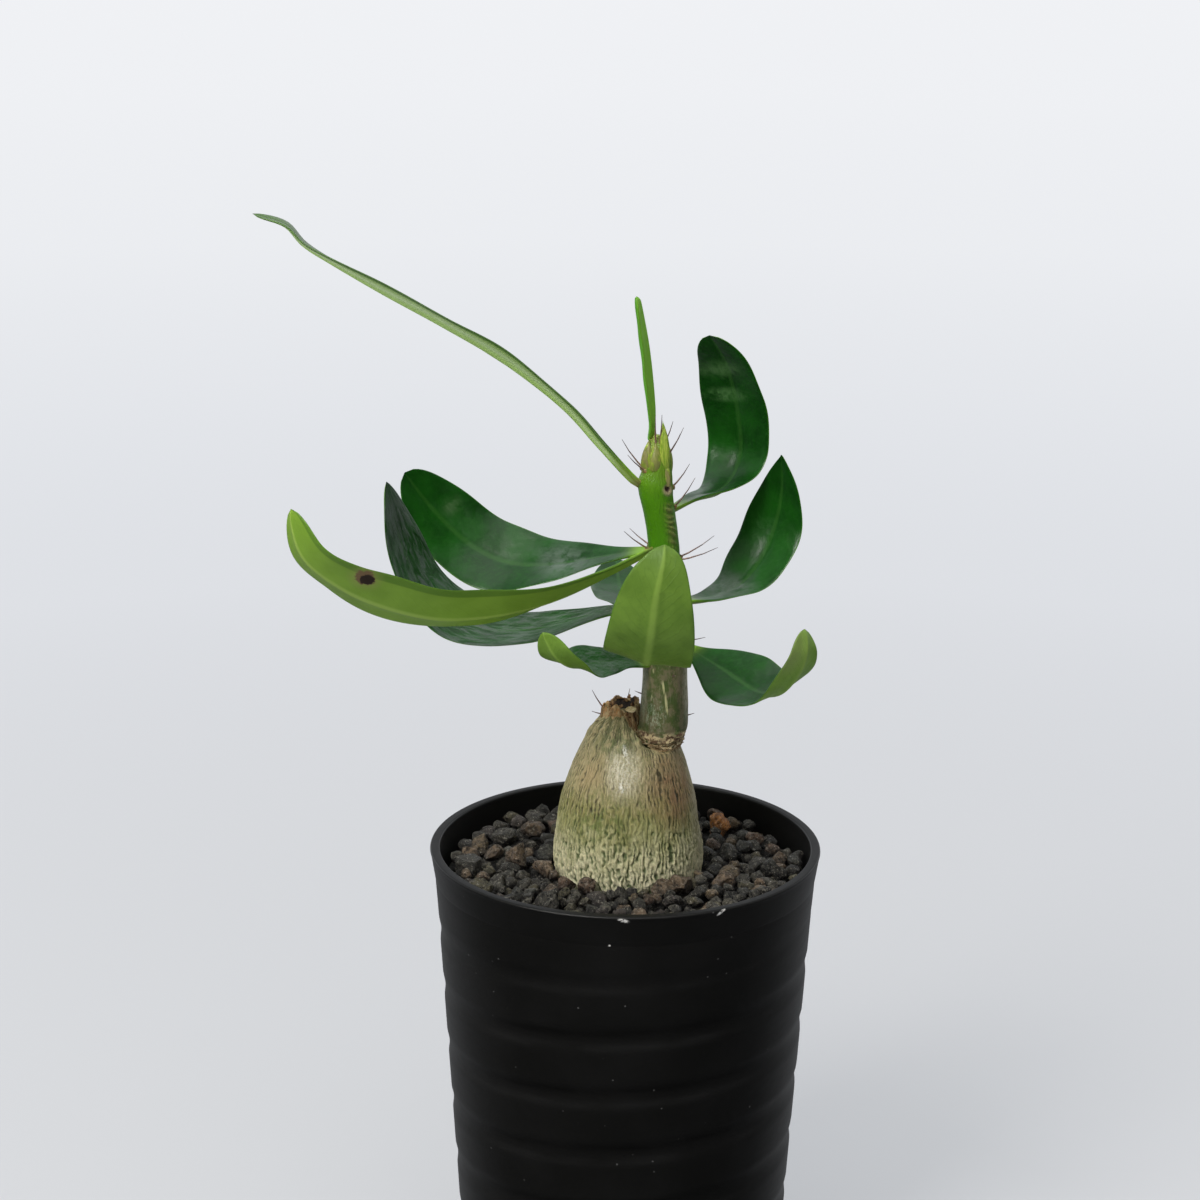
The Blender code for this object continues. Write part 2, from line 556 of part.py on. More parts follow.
def make_leaf(name, leaf):
    root = leaf_root(leaf)
    middles = curve_through([root] + [root + Vector(point) * MM for point in leaf["path"]], LEAF_STEPS)
    margins = [Vector(side).normalized() for side in leaf["sides"]]
    petiole = PETIOLE_DEPTH * petiole_half(leaf)
    rings = []
    for i, middle in enumerate(middles):
        part = i / LEAF_STEPS
        ahead = (middles[min(i + 1, LEAF_STEPS)] - middles[max(i - 1, 0)]).normalized()
        side = on_curve(margins, part)
        side = (side - ahead * side.dot(ahead)).normalized()
        up = side.cross(ahead)
        half = half_width(part, leaf)
        flat = min(1.0, part / BLADE_START)
        edge = petiole * 0.5 * (1 - flat) + BLADE_EDGE * flat
        thick = petiole * (1 - flat) + BLADE_MIDDLE * flat
        upper = []
        lower = []
        for v in LEAF_COLUMNS:
            lift = abs(v) * half * leaf["fold"] * flat
            wave = MARGIN_WAVE * half * flat * v * v * math.sin(part * MARGIN_TURNS + 2 * v)
            here = middle + side * v * half + up * (lift + wave)
            depth = edge + (thick - edge) * (1 - abs(v))
            upper.append(here + up * edge / 2)
            lower.append(here + up * (edge / 2 - depth))
        rings.append(upper + lower[::-1])
    finish(object_from(skin(rings, mirror_half=True), name), "leaf")


def main():
    clear_scene()
    make_pot()
    make_substrate()
    make_caudex()
    make_stem()
    for name, leaf in LEAVES.items():
        make_leaf(name, leaf)


main()
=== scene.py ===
# Potted pachypodium: the looks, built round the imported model. Lengths are in millimetres times mm.
import math
import random

import bpy
import numpy as np
from mathutils import Euler, Matrix, Vector, noise


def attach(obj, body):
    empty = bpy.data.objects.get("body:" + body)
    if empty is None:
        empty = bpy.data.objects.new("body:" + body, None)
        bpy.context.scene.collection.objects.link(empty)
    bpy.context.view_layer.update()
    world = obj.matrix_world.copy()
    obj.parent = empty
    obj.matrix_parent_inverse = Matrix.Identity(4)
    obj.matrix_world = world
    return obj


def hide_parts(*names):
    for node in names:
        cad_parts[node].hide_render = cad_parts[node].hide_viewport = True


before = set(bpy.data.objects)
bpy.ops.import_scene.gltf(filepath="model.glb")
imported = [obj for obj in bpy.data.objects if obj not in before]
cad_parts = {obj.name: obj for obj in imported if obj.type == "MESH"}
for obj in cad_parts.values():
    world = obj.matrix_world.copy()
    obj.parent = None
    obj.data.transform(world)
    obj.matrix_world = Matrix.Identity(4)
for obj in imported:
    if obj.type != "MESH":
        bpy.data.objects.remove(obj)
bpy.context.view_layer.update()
mm = 0.001
upright = Vector((0, 0, 1))
fullTurn = 2 * math.pi


# Shader maths: a Wire is one output socket, and Python's operators add Math nodes to its material

class Wire:
    def __init__(self, paint, socket):
        self.paint = paint
        self.socket = socket

    def maths(self, operation, *values):
        return self.paint.node("ShaderNodeMath", {"operation": operation}, dict(enumerate(values)))

    def __add__(self, other):
        return self.maths("ADD", self, other)

    def __radd__(self, other):
        return self.maths("ADD", other, self)

    def __sub__(self, other):
        return self.maths("SUBTRACT", self, other)

    def __rsub__(self, other):
        return self.maths("SUBTRACT", other, self)

    def __mul__(self, other):
        return self.maths("MULTIPLY", self, other)

    def __rmul__(self, other):
        return self.maths("MULTIPLY", other, self)

    def __truediv__(self, other):
        return self.maths("DIVIDE", self, other)

    def __pow__(self, other):
        return self.maths("POWER", self, other)

    def __abs__(self):
        return self.maths("ABSOLUTE", self)

    def cosine(self):
        return self.maths("COSINE", self)

    def fraction(self):
        return self.maths("FRACT", self)

    def most(self, other):
        return self.maths("MAXIMUM", self, other)

    # 0 below low, 1 above high, and smooth between them
    def step(self, low, high):
        return self.paint.node("ShaderNodeMapRange", {"interpolation_type": "SMOOTHSTEP"},
                               {"Value": self, "From Min": low, "From Max": high})


class Paint:
    def __init__(self, name, home="materials", shader="Principled BSDF", place="Object"):
        self.made = getattr(bpy.data, home).new(name)
        self.made.use_nodes = True
        self.tree = self.made.node_tree
        self.shader = self.tree.nodes[shader]
        self.place = self.node("ShaderNodeTexCoord", out=place)

    def node(self, kind, settings=None, sockets=None, out=0):
        made = self.tree.nodes.new(kind)
        for key, value in (settings or {}).items():
            if key == "stops":
                self.fillRamp(made.color_ramp, value)
            else:
                setattr(made, key, value)
        for key, value in (sockets or {}).items():
            self.feed(made.inputs[key], value)
        return Wire(self, made.outputs[out])

    def fillRamp(self, ramp, stops):
        while len(ramp.elements) < len(stops):
            ramp.elements.new(0.5)
        for element, (place, colour) in zip(ramp.elements, stops):
            element.position = place
            element.color = (*colour, 1)

    def feed(self, socket, value):
        if isinstance(value, Wire):
            self.tree.links.new(value.socket, socket)
        elif socket.type == "RGBA":
            socket.default_value = (*value, 1)
        else:
            socket.default_value = value

    # size is the spacing of the lumps in millimetres, one for all or along x, y and z
    def spread(self, size):
        sizes = size if isinstance(size, tuple) else (size, size, size)
        scale = tuple(1 / (part * mm) for part in sizes)
        return self.node("ShaderNodeMapping", {}, {"Vector": self.place, "Scale": scale}, out="Vector")

    def lumps(self, size, detail=3.0, roughness=0.5):
        return self.node("ShaderNodeTexNoise", {}, {
            "Vector": self.spread(size), "Scale": 1.0, "Detail": detail, "Roughness": roughness})

    def cells(self, size):
        return self.node("ShaderNodeTexVoronoi", {}, {"Vector": self.spread(size), "Scale": 1.0},
                         out="Distance")

    def blend(self, first, second, share):
        return self.node("ShaderNodeMix", {"data_type": "RGBA"}, {0: share, 6: first, 7: second}, out=2)

    # lays more colours over the first, each as far as its share says
    def layered(self, colour, *layers):
        for tint, share in layers:
            colour = self.blend(colour, tint, share)
        return colour

    def darken(self, colour, share):
        return self.node("ShaderNodeMix", {"data_type": "RGBA", "blend_type": "MULTIPLY"},
                         {0: 1.0, 6: colour, 7: self.grey(share)}, out=2)

    def grey(self, value):
        return self.node("ShaderNodeCombineXYZ", {}, {0: value, 1: value, 2: value})

    def ramp(self, value, stops):
        return self.node("ShaderNodeValToRGB", {"stops": stops}, {0: value})

    def axis(self, letter, place=None):
        return self.node("ShaderNodeSeparateXYZ", {}, {0: place or self.place}, out="XYZ".index(letter))

    def attribute(self, name, out="Fac"):
        return self.node("ShaderNodeAttribute", {"attribute_name": name}, out=out)

    # 1 at a place on the surface, fading to 0 at the given reach in millimetres along x, y and z
    def spot(self, centre, reach, turn=0.0, soft=0.5):
        moved = self.node("ShaderNodeVectorMath", {"operation": "SUBTRACT"},
                          {0: self.place, 1: tuple(part * mm for part in centre)})
        swung = self.node("ShaderNodeVectorRotate", {"rotation_type": "EULER_XYZ"},
                          {"Vector": moved, "Rotation": (0, turn, 0)})
        scaled = self.node("ShaderNodeVectorMath", {"operation": "DIVIDE"},
                           {0: swung, 1: tuple(part * mm for part in reach)})
        far = self.node("ShaderNodeVectorMath", {"operation": "LENGTH"}, {0: scaled}, out="Value")
        return 1 - far.step(1 - soft, 1.0)

    # layers of (height, millimetres that one unit of it stands for), the broad ones first
    def relief(self, *layers):
        normal = None
        for height, distance in layers:
            sockets = {"Height": height, "Strength": 1.0, "Distance": distance * mm}
            if normal:
                sockets["Normal"] = normal
            normal = self.node("ShaderNodeBump", {}, sockets)
        self.feed(self.shader.inputs["Normal"], normal)

    def surface(self, **values):
        for name, value in values.items():
            self.feed(self.shader.inputs[name.replace("_", " ")], value)


# Making and finishing pieces

def deselect():
    bpy.ops.object.select_all(action="DESELECT")


def only(obj):
    if bpy.context.object and bpy.context.object.mode != "OBJECT":
        bpy.ops.object.mode_set(mode="OBJECT")
    deselect()
    obj.select_set(True)
    bpy.context.view_layer.objects.active = obj


def weld(obj):
    only(obj)
    bpy.ops.object.mode_set(mode="EDIT")
    bpy.ops.mesh.select_all(action="SELECT")
    bpy.ops.mesh.remove_doubles(threshold=0.002 * mm)
    bpy.ops.mesh.dissolve_degenerate(threshold=0.001 * mm)
    bpy.ops.mesh.normals_make_consistent(inside=False)
    bpy.ops.object.mode_set(mode="OBJECT")


# A chain of points, extruded one from the other in the XZ plane and spun round Z
def turned(name, profile, steps):
    deselect()
    bpy.ops.mesh.primitive_plane_add(size=mm)
    obj = bpy.context.object
    obj.name = name
    bpy.ops.object.mode_set(mode="EDIT")
    bpy.ops.mesh.select_mode(type="VERT")
    bpy.ops.mesh.select_all(action="SELECT")
    bpy.ops.mesh.merge(type="CENTER")
    last = Vector((0, 0, 0))
    for index, (radius, height) in enumerate(profile):
        point = Vector((radius * mm, 0, height * mm))
        if index:
            bpy.ops.mesh.extrude_region_move(TRANSFORM_OT_translate={"value": point - last})
        else:
            bpy.ops.transform.translate(value=point)
        last = point
    bpy.ops.mesh.select_all(action="SELECT")
    bpy.ops.mesh.spin(steps=steps, angle=fullTurn, center=(0, 0, 0), axis=(0, 0, 1))
    bpy.ops.object.mode_set(mode="OBJECT")
    weld(obj)
    return obj


# A grid whose points are placed by a function of the way across and the way along, both 0 to 1
def sheet(name, across, along, placeOf):
    deselect()
    bpy.ops.mesh.primitive_grid_add(x_subdivisions=across, y_subdivisions=along, size=2)
    obj = bpy.context.object
    obj.name = name
    for vertex in obj.data.vertices:
        vertex.co = placeOf((vertex.co.x + 1) / 2, (vertex.co.y + 1) / 2)
    weld(obj)
    return obj


def points(obj):
    flat = np.zeros(len(obj.data.vertices) * 3)
    obj.data.vertices.foreach_get("co", flat)
    return flat.reshape(-1, 3)


def setPoints(obj, places):
    obj.data.vertices.foreach_set("co", np.asarray(places, dtype=np.float32).ravel())
    obj.data.update()


# Each point's place, its angle and distance round Z, and its height in millimetres
def pointsRound(obj):
    places = points(obj)
    x, y, z = places.T
    return places, np.arctan2(y, x), np.hypot(x, y), z / mm


def setRound(obj, reach, angle, height, x=0.0, y=0.0):
    setPoints(obj, np.stack([x + reach * np.cos(angle), y + reach * np.sin(angle), height], 1))


# Numbers that the paint reads at each point: one for the whole piece, or one for each point
def mark(obj, **layers):
    for name, values in layers.items():
        layer = obj.data.attributes.new(name, "FLOAT", "POINT")
        layer.data.foreach_set("value", np.broadcast_to(values, len(obj.data.vertices)).astype(np.float32))


def noiseAt(places):
    return np.array([noise.noise(Vector(place)) for place in places])


# noise between -1 and 1 whose lumps have the given size in millimetres
def grain(places, size, shift=0.0):
    return noiseAt(places / (np.array(size) * mm) + shift)


def smoothstep(low, high, value):
    part = np.clip((value - low) / (high - low), 0, 1)
    return part * part * (3 - 2 * part)


def outward(angle):
    return Vector((math.cos(angle), math.sin(angle), 0))


# A random turn: a lean either way, and any way round
def tumble(draw, lean):
    turn = Euler((draw.uniform(-lean, lean), draw.uniform(-lean, lean), draw.uniform(0, 6.28)))
    return turn.to_matrix().to_4x4()


def finishPiece(obj, slot, angle, *paints, node=None):
    only(obj)
    obj.data.materials.clear()
    for paint in paints:
        obj.data.materials.append(paint.made)
    bpy.ops.object.shade_smooth_by_angle(angle=math.radians(angle))
    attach(obj, "root")
    if node:
        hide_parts(node)


def joined(name, pieces):
    only(pieces[0])
    for piece in pieces:
        piece.select_set(True)
    bpy.ops.object.join()
    obj = bpy.context.object
    obj.name = name
    return obj


def onCurve(controls, part):
    ends = [controls[0] * 2 - controls[1]] + list(controls) + [controls[-1] * 2 - controls[-2]]
    place = min(max(part, 0.0), 1.0) * (len(controls) - 1)
    index = min(int(place), len(controls) - 2)
    t = place - index
    a, b, c, d = ends[index:index + 4]
    bend = (2 * a - 5 * b + 4 * c - d) * t ** 2 + (3 * b - a - 3 * c + d) * t ** 3
    return 0.5 * (2 * b + (c - a) * t + bend)


# Evenly spaced points on a smooth curve through the given ones
def evenCurve(controls, steps):
    fine = 24 * (len(controls) - 1)
    dense = [onCurve(controls, i / fine) for i in range(fine + 1)]
    reach = [0.0]
    for a, b in zip(dense, dense[1:]):
        reach.append(reach[-1] + (b - a).length)
    result = []
    index = 0
    for i in range(steps + 1):
        want = reach[-1] * i / steps
        while index < len(dense) - 2 and reach[index + 1] < want:
            index += 1
        span = reach[index + 1] - reach[index]
        result.append(dense[index].lerp(dense[index + 1], (want - reach[index]) / span))
    return result


# The row at a value of one column, worked out between the two rows next to it
def onLevels(levels, value, key=0):
    for low, high in zip(levels, levels[1:]):
        if value <= high[key]:
            break
    part = min(max((value - low[key]) / (high[key] - low[key]), 0.0), 1.0)
    return tuple(a + (b - a) * part for a, b in zip(low, high))


# Camera, floor and light

studio = {
    "eye": (-6.25, -671.5, 366.4), "pitch": 16.414, "roll": 0.431, "lens": 93.1, "sensor": 36.0,
    "floorReach": 1300, "bowl": ((1200, -2), (2200, 10), (3000, 220), (3450, 1000), (3550, 3600)),
    "rampReach": 3.2,
    "backdrop": ((0.0, (0.50, 0.52, 0.55)), (0.05, (0.56, 0.58, 0.615)), (0.19, (0.73, 0.75, 0.79)),
                 (0.45, (0.83, 0.845, 0.875)), (0.95, (0.895, 0.905, 0.93))),
    # the room is bright at the back and dim behind the camera
    "skyFront": (0.025, 0.025, 0.026), "skyBack": (0.93, 0.96, 1.0),
    "skyTurn": (-0.15, 0.85), "skyLow": 0.3, "skyRise": (-0.3, 0.12),
}
lamps = {  # place and target in metres, width and height in metres, watts, colour
    "keyWindow": ((-0.62, -0.72, 1.10), (0, 0, 0.15), (0.5, 0.6), 15.0, (1.0, 0.975, 0.94)),
    "ceiling": ((0.0, -0.1, 1.35), (0, 0, 0.15), (1.2, 1.2), 7.5, (1.0, 1.0, 1.0)),
    "frontFill": ((0.5, -1.7, 1.15), (0, 0, 0.15), (1.4, 0.9), 6.0, (1.0, 0.99, 0.98)),
}


def makeStudio():
    camera = bpy.data.objects.new("camera", bpy.data.cameras.new("camera"))
    bpy.context.scene.collection.objects.link(camera)
    camera.data.lens = studio["lens"]
    camera.data.sensor_width = studio["sensor"]
    camera.data.clip_start = 0.01
    camera.data.clip_end = 100
    look = Euler((math.radians(90 - studio["pitch"]), 0, 0)).to_matrix()
    look = look @ Matrix.Rotation(math.radians(studio["roll"]), 3, "Z")
    camera.matrix_world = Matrix.Translation(Vector(studio["eye"]) * mm) @ look.to_4x4()
    bpy.context.scene.camera = camera
    bpy.context.scene.view_settings.view_transform = "Standard"

    paint = Paint("paleBackdrop")
    east, north = paint.axis("X"), paint.axis("Y")
    away = (east * east + north * north) ** 0.5
    # the floor and backdrop glow brighter further out, as painted light; near the middle the floor takes the
    # lamps' light instead
    glow = paint.ramp(away / studio["rampReach"], studio["backdrop"])
    near = 1 - away.step(0.1, 1.0)
    paint.surface(Base_Color=paint.grey(0.24 * near), Roughness=1.0, Specular_IOR_Level=0.0,
                  Emission_Color=paint.darken(glow, 1 - 0.28 * near), Emission_Strength=1.0)
    deselect()
    bpy.ops.mesh.primitive_circle_add(vertices=96, radius=studio["floorReach"] * mm, fill_type="NGON")
    floor = bpy.context.object
    floor.name = "floor"
    bowl = turned("backdrop", studio["bowl"], 96)
    bowl.visible_diffuse = False
    bowl.visible_shadow = False
    for part in (floor, bowl):
        # what the glossy pot mirrors is the room, not the floor
        part.visible_glossy = False
        part.data.materials.append(paint.made)
    only(bowl)
    bpy.ops.object.shade_smooth()

    for name, (place, target, size, watts, colour) in lamps.items():
        light = bpy.data.lights.new(name, "AREA")
        light.shape = "RECTANGLE"
        light.size, light.size_y = size
        light.energy = watts
        light.color = colour
        lamp = bpy.data.objects.new(name, light)
        bpy.context.scene.collection.objects.link(lamp)
        aim = (Vector(target) - Vector(place)).to_track_quat("-Z", "Y")
        lamp.matrix_world = Matrix.Translation(place) @ aim.to_matrix().to_4x4()

    room = Paint("room", "worlds", "Background", "Generated")
    bpy.context.scene.world = room.made
    rise = studio["skyLow"] + (1 - studio["skyLow"]) * room.axis("Z").step(*studio["skyRise"])
    room.surface(Color=room.blend(studio["skyFront"], studio["skyBack"],
                                  room.axis("Y").step(*studio["skyTurn"]) * rise))


# Pot

pot = {
    "height": 110, "rim": 45, "bandHeight": 7, "bandFoot": 43.85, "neckHeight": 97, "neck": 43.37,
    "taper": 0.0626, "wall": 1.6, "lip": 2.3, "lipHeight": 2.4, "footWidth": 4, "footHeight": 3,
    "pad": 8, "floor": 2, "drainRadius": 3.5, "drainCircle": 21, "drainCount": 6,
    "groovePitch": 14.3, "grooveDepth": 0.36, "grooveWidth": 6.0, "grooveFront": 94, "grooveFade": 6,
    "wallStep": 0.9, "steps": 288,
    # how far over the groove's middle each painted line of shade or light runs, and how wide it is
    "lines": {"shadeLine": (1.6, 0.8), "lightLine": (-1.9, 0.9)},
    # pale scuffs: place, reach, turn
    "scuffs": (((-0.6, -44.7, 109.2), (1.6, 2.0, 0.55), -0.2), ((20.8, -39.6, 109.4), (1.5, 2.2, 0.42), 0.65),
               ((-3.6, -44.0, 102.9), (0.35, 1.5, 0.3), 0.0)),
}
# height and outer radius
potWall = ((0, pot["neck"] - pot["neckHeight"] * pot["taper"]), (pot["neckHeight"], pot["neck"]),
           (pot["height"] - pot["bandHeight"], pot["bandFoot"]), (pot["height"], pot["rim"]))


def wallRadius(height):
    return onLevels(potWall, height)[1]


def innerRadius(height):
    return min(wallRadius(height) - pot["wall"], pot["rim"] - pot["lip"] - 0.1)


# A rounded corner of a turned profile, from one angle to another in degrees
def rounded(radius, height, reach, start, end, steps):
    angles = [math.radians(start + (end - start) * i / steps) for i in range(steps + 1)]
    return [(radius + reach * math.cos(angle), height + reach * math.sin(angle)) for angle in angles]


def potProfile():
    top, neck, pad, sole = pot["height"], pot["neckHeight"], pot["pad"], pot["footHeight"]
    foot, band, floor = wallRadius(0), top - pot["bandHeight"], sole + pot["floor"]
    footInside, lipInside = foot - pot["footWidth"], pot["rim"] - pot["lip"]
    rows = int((neck - 2) / pot["wallStep"])
    profile = [(0, 0), (pad - 0.4, 0)] + rounded(pad - 0.4, 0.4, 0.4, -90, 0, 3)
    profile += [(pad + 0.3, sole - 0.4), (pad + 0.8, sole)]
    profile += [(footInside - 0.8, sole), (footInside - 0.3, sole - 0.4)]
    profile += rounded(footInside + 0.4, 0.4, 0.4, 180, 270, 3) + rounded(foot - 0.6, 0.6, 0.6, -90, 0, 4)
    heights = [2 + (neck - 2) * i / rows for i in range(rows + 1)] + [98.5, 100, 101.5]
    profile += [(wallRadius(h), h) for h in heights]
    # a fine step where the flared band begins
    profile += [(pot["bandFoot"] - back, band - down) for back, down in ((0.07, 0.5), (0.08, 0.2), (0.01, 0))]
    heights = (band + 0.3, band + 1.5, band + 3, band + 4.5, top - 1.4, top - 0.7)
    profile += [(wallRadius(h), h) for h in heights]
    profile += rounded(pot["rim"] - 0.52, top - 0.5, 0.5, 0, 90, 6)
    profile += rounded(lipInside + 0.5, top - 0.5, 0.5, 90, 180, 6)
    profile += [(lipInside - 0.04, top - 1.2), (lipInside - 0.08, top - pot["lipHeight"])]
    profile += [(innerRadius(h), h) for h in (band, 98, 90, 80, 70, 60, 50, 40, 30, 20, 10, floor + 1)]
    return profile + [(innerRadius(floor) - 1, floor), (30, floor), (0, floor)]


def makePot():
    body = turned("potBody", potProfile(), pot["steps"])
    places, angle, radius, height = pointsRound(body)
    turns = (height - pot["grooveFront"]) / pot["groovePitch"] - (angle + math.pi / 2) / fullTurn
    above = (turns - np.round(turns)) * pot["groovePitch"]
    shape = np.maximum(0, 1 - (2 * above / pot["grooveWidth"]) ** 2)
    inward = np.minimum(pot["neckHeight"] - height, height - pot["grooveFade"])
    fade = np.clip(inward / pot["grooveFade"], 0, 1)
    outer = radius / mm > np.array([wallRadius(h) for h in height]) - 0.5
    radius = radius - pot["grooveDepth"] * mm * shape * fade * outer
    # a moulded wall is never quite even
    setRound(body, radius + outer * 0.05 * mm * grain(places, (18, 18, 9)), angle, places[:, 2])
    for name, (place, wide) in pot["lines"].items():
        mark(body, **{name: np.exp(-((above - place) / wide) ** 2) * fade * outer})

    for i in range(pot["drainCount"]):
        around = fullTurn * i / pot["drainCount"]
        x, y = pot["drainCircle"] * math.cos(around), pot["drainCircle"] * math.sin(around)
        deselect()
        bpy.ops.mesh.primitive_cylinder_add(vertices=32, radius=pot["drainRadius"] * mm, depth=8 * mm,
                                            location=(x * mm, y * mm, 4 * mm))
        drill = bpy.context.object
        only(body)
        cut = body.modifiers.new("drain", "BOOLEAN")
        cut.operation = "DIFFERENCE"
        cut.object = drill
        bpy.ops.object.modifier_apply(modifier=cut.name)
        bpy.data.objects.remove(drill, do_unlink=True)

    paint = Paint("blackPlastic")
    cloud = paint.lumps(22)
    rub = paint.lumps((9, 9, 1.2), 4.0, 0.6)
    uneven = paint.lumps((14, 14, 5)).step(0.3, 0.65)
    dust = ((1 - paint.cells(3.2).step(0.05, 0.08)) * paint.lumps(7, 1.0).step(0.5, 0.6)).most(
        (1 - paint.cells(0.9).step(0.05, 0.09)) * paint.lumps(12, 2.0).step(0.5, 0.7) * 0.4)
    scuffs = 0.0
    for place, reach, turn in pot["scuffs"]:
        scuffs = paint.spot(place, reach, turn).most(scuffs)
    scuffs = scuffs * paint.lumps(0.5).step(0.36, 0.5)
    colour = paint.layered(
        (0.0052, 0.0052, 0.0048), ((0.0076, 0.0075, 0.0072), cloud.step(0.3, 0.7)),
        # painted light along each groove's lower flank and painted shade along its upper flank
        ((0.0135, 0.0135, 0.0132), paint.attribute("lightLine") * uneven * 0.6),
        ((0.0016, 0.0016, 0.0014), paint.attribute("shadeLine") * (0.3 + 0.4 * uneven)),
        ((0.17, 0.17, 0.165), dust * 0.36), ((0.62, 0.61, 0.58), scuffs))
    paint.surface(Base_Color=colour, Roughness=0.35 + 0.08 * rub + 0.05 * cloud + 0.3 * dust + 0.3 * scuffs,
                  Specular_IOR_Level=0.25)
    paint.relief((paint.lumps((5, 5, 2.5), 2.0), 0.05), (paint.lumps(0.35, 2.0), 0.012))
    # the inside wall is a darker, rougher copy of the plastic: painted shade inside the pot
    inside = Paint("shadedBlackInside")
    inside.surface(Base_Color=inside.blend((0.003, 0.003, 0.0028), (0.005, 0.005, 0.0048), inside.lumps(9)),
                   Roughness=0.5, Specular_IOR_Level=0.25)
    lip = Paint("blackLip")
    lip.surface(Base_Color=(0.006, 0.006, 0.0058), Roughness=0.42 + 0.1 * lip.lumps(2),
                Specular_IOR_Level=0.1)
    finishPiece(body, "pot", 35, paint, inside, lip, node="pot")
    for face in body.data.polygons:
        middle = face.center / mm
        if math.hypot(middle.x, middle.y) < innerRadius(middle.z) + 0.2 and middle.z > pot["footHeight"] + 1:
            face.material_index = 1
        if middle.z > pot["height"] - 0.06:
            face.material_index = 2


# Grit: loose grains seated on each other, the large ones that show first

tones = {
    "dark": (0.040, 0.037, 0.028), "grey": (0.074, 0.068, 0.052), "blue": (0.044, 0.044, 0.037),
    "brown": (0.135, 0.094, 0.058), "tan": (0.150, 0.108, 0.060), "olive": (0.074, 0.065, 0.036),
    "red": (0.125, 0.080, 0.052), "plum": (0.050, 0.041, 0.035), "orange": (0.40, 0.160, 0.034),
    "black": (0.024, 0.022, 0.018),
}
grit = {
    "top": 105.2, "bedDrop": 3.6, "seed": 27, "layer": 360, "fill": 430, "tries": 12, "large": 2.8,
    "sizes": (4.0, 6.8), "frontSizes": (3.0, 5.4), "frontFrom": -8, "wallGap": 0.4, "wallHeight": 104,
    "squash": ((0.95, 1.15), (0.85, 1.05), (0.78, 0.95)), "planes": 11, "shapes": 16,
    "mix": ("dark", "olive", "grey", "dark", "blue", "black", "brown", "olive", "plum", "olive", "grey",
            "dark", "black", "brown", "red", "tan"),
    # the grains that stand out: middle x and y, size, tone
    "heroes": (
        (22.4, 23.6, 8.6, "orange"), (21.6, 18.2, 3.2, "dark"), (25.4, 18.6, 3.4, "grey"),
        (31.4, 23.6, 5.4, "tan"), (27.1, 31.0, 4.6, "grey"), (22.3, -10.8, 6.2, "brown"),
        (8.6, -18.0, 6.8, "brown"), (12.6, -17.0, 6.4, "brown"), (-8.7, -17.2, 6.2, "red"),
        (-1.5, -20.5, 4.8, "dark"), (-6.2, -23.5, 5.4, "plum"), (18.5, -23.1, 4.4, "grey"),
        (-33.7, 9.0, 5.8, "tan"), (-28.4, 11.7, 6.4, "dark"), (-22.0, 19.1, 7.0, "brown"),
        (-21.7, 30.0, 5.2, "grey"), (-13.9, 35.6, 5.0, "tan"), (-16.4, 24.6, 5.2, "red"),
        (-25.0, -0.5, 7.4, "brown"), (-17.6, 5.5, 6.4, "blue"), (-18.2, -6.4, 6.6, "brown"),
        (-13.6, -14.6, 5.0, "red"), (-36.0, -6.0, 8.0, "dark"), (-29.1, -13.6, 6.6, "dark"),
        (-33.3, -20.0, 7.6, "olive"), (-25.0, -29.0, 5.0, "tan"), (-17.4, -28.6, 8.6, "dark"),
        (-24.3, -21.5, 4.8, "blue"), (28.8, -3.4, 4.2, "dark"), (33.6, -14.0, 4.8, "grey"),
        (35.8, 3.4, 4.6, "brown"), (24.6, 12.6, 4.6, "tan"), (30.0, 12.0, 4.8, "dark"),
        (38.4, -2.0, 4.4, "dark"), (-30.6, 3.0, 5.4, "brown"), (17.5, -16.5, 4.2, "dark"),
        (28.2, -17.4, 4.8, "dark"), (3.4, -24.6, 3.6, "blue"), (-12.0, -25.4, 4.6, "grey"),
        (10.0, -26.6, 4.0, "plum"), (-22.6, -14.6, 4.6, "dark"), (20.5, -2.6, 4.4, "blue"),
    ),
}


# One rough stone of radius 1: an ico sphere flattened by a few planes, then roughened and pitted
def stoneShape(draw, subdivisions):
    deselect()
    bpy.ops.mesh.primitive_ico_sphere_add(subdivisions=subdivisions, radius=1)
    stone = bpy.context.object
    places = points(stone)
    for _ in range(grit["planes"]):
        way = np.array(Vector([draw.gauss(0, 1) for _ in range(3)]).normalized())
        over = np.maximum(places @ way - draw.uniform(0.52, 0.86), 0)
        places = places - np.outer(over * 0.92, way)
    shift = np.array([draw.uniform(0, 90), 0, 0])
    lumpy = noiseAt(places * 1.4 + shift)
    rough = noiseAt(places * 3.6 + shift)
    places = places * (1 + 0.20 * lumpy + 0.075 * rough)[:, None]
    if subdivisions > 3:
        fine = noiseAt(places * 7.5 - shift)
        pits = smoothstep(0.12, 0.42, noiseAt(places * 4.6 - shift))
        places = places * (1 + 0.05 * fine - 0.09 * pits)[:, None]
    setPoints(stone, places)
    return stone


def stoneChip(draw, place, size, subdivisions=2):
    chip = stoneShape(draw, subdivisions)
    turn = tumble(draw, 0.5)
    stretch = Matrix.Diagonal((*size, 1)) @ Matrix.Scale(mm, 4)
    chip.data.transform(Matrix.Translation(place * mm) @ turn @ stretch)
    return chip


def innerWall(height):
    return innerRadius(height) - grit["wallGap"]


# Whether a grain stands clear of the trunk, which it may touch a little
def clearOfTrunk(x, y, radius, share):
    return math.hypot(x - 0.8, y) > trunkRadius(grit["wallHeight"]) + radius * share


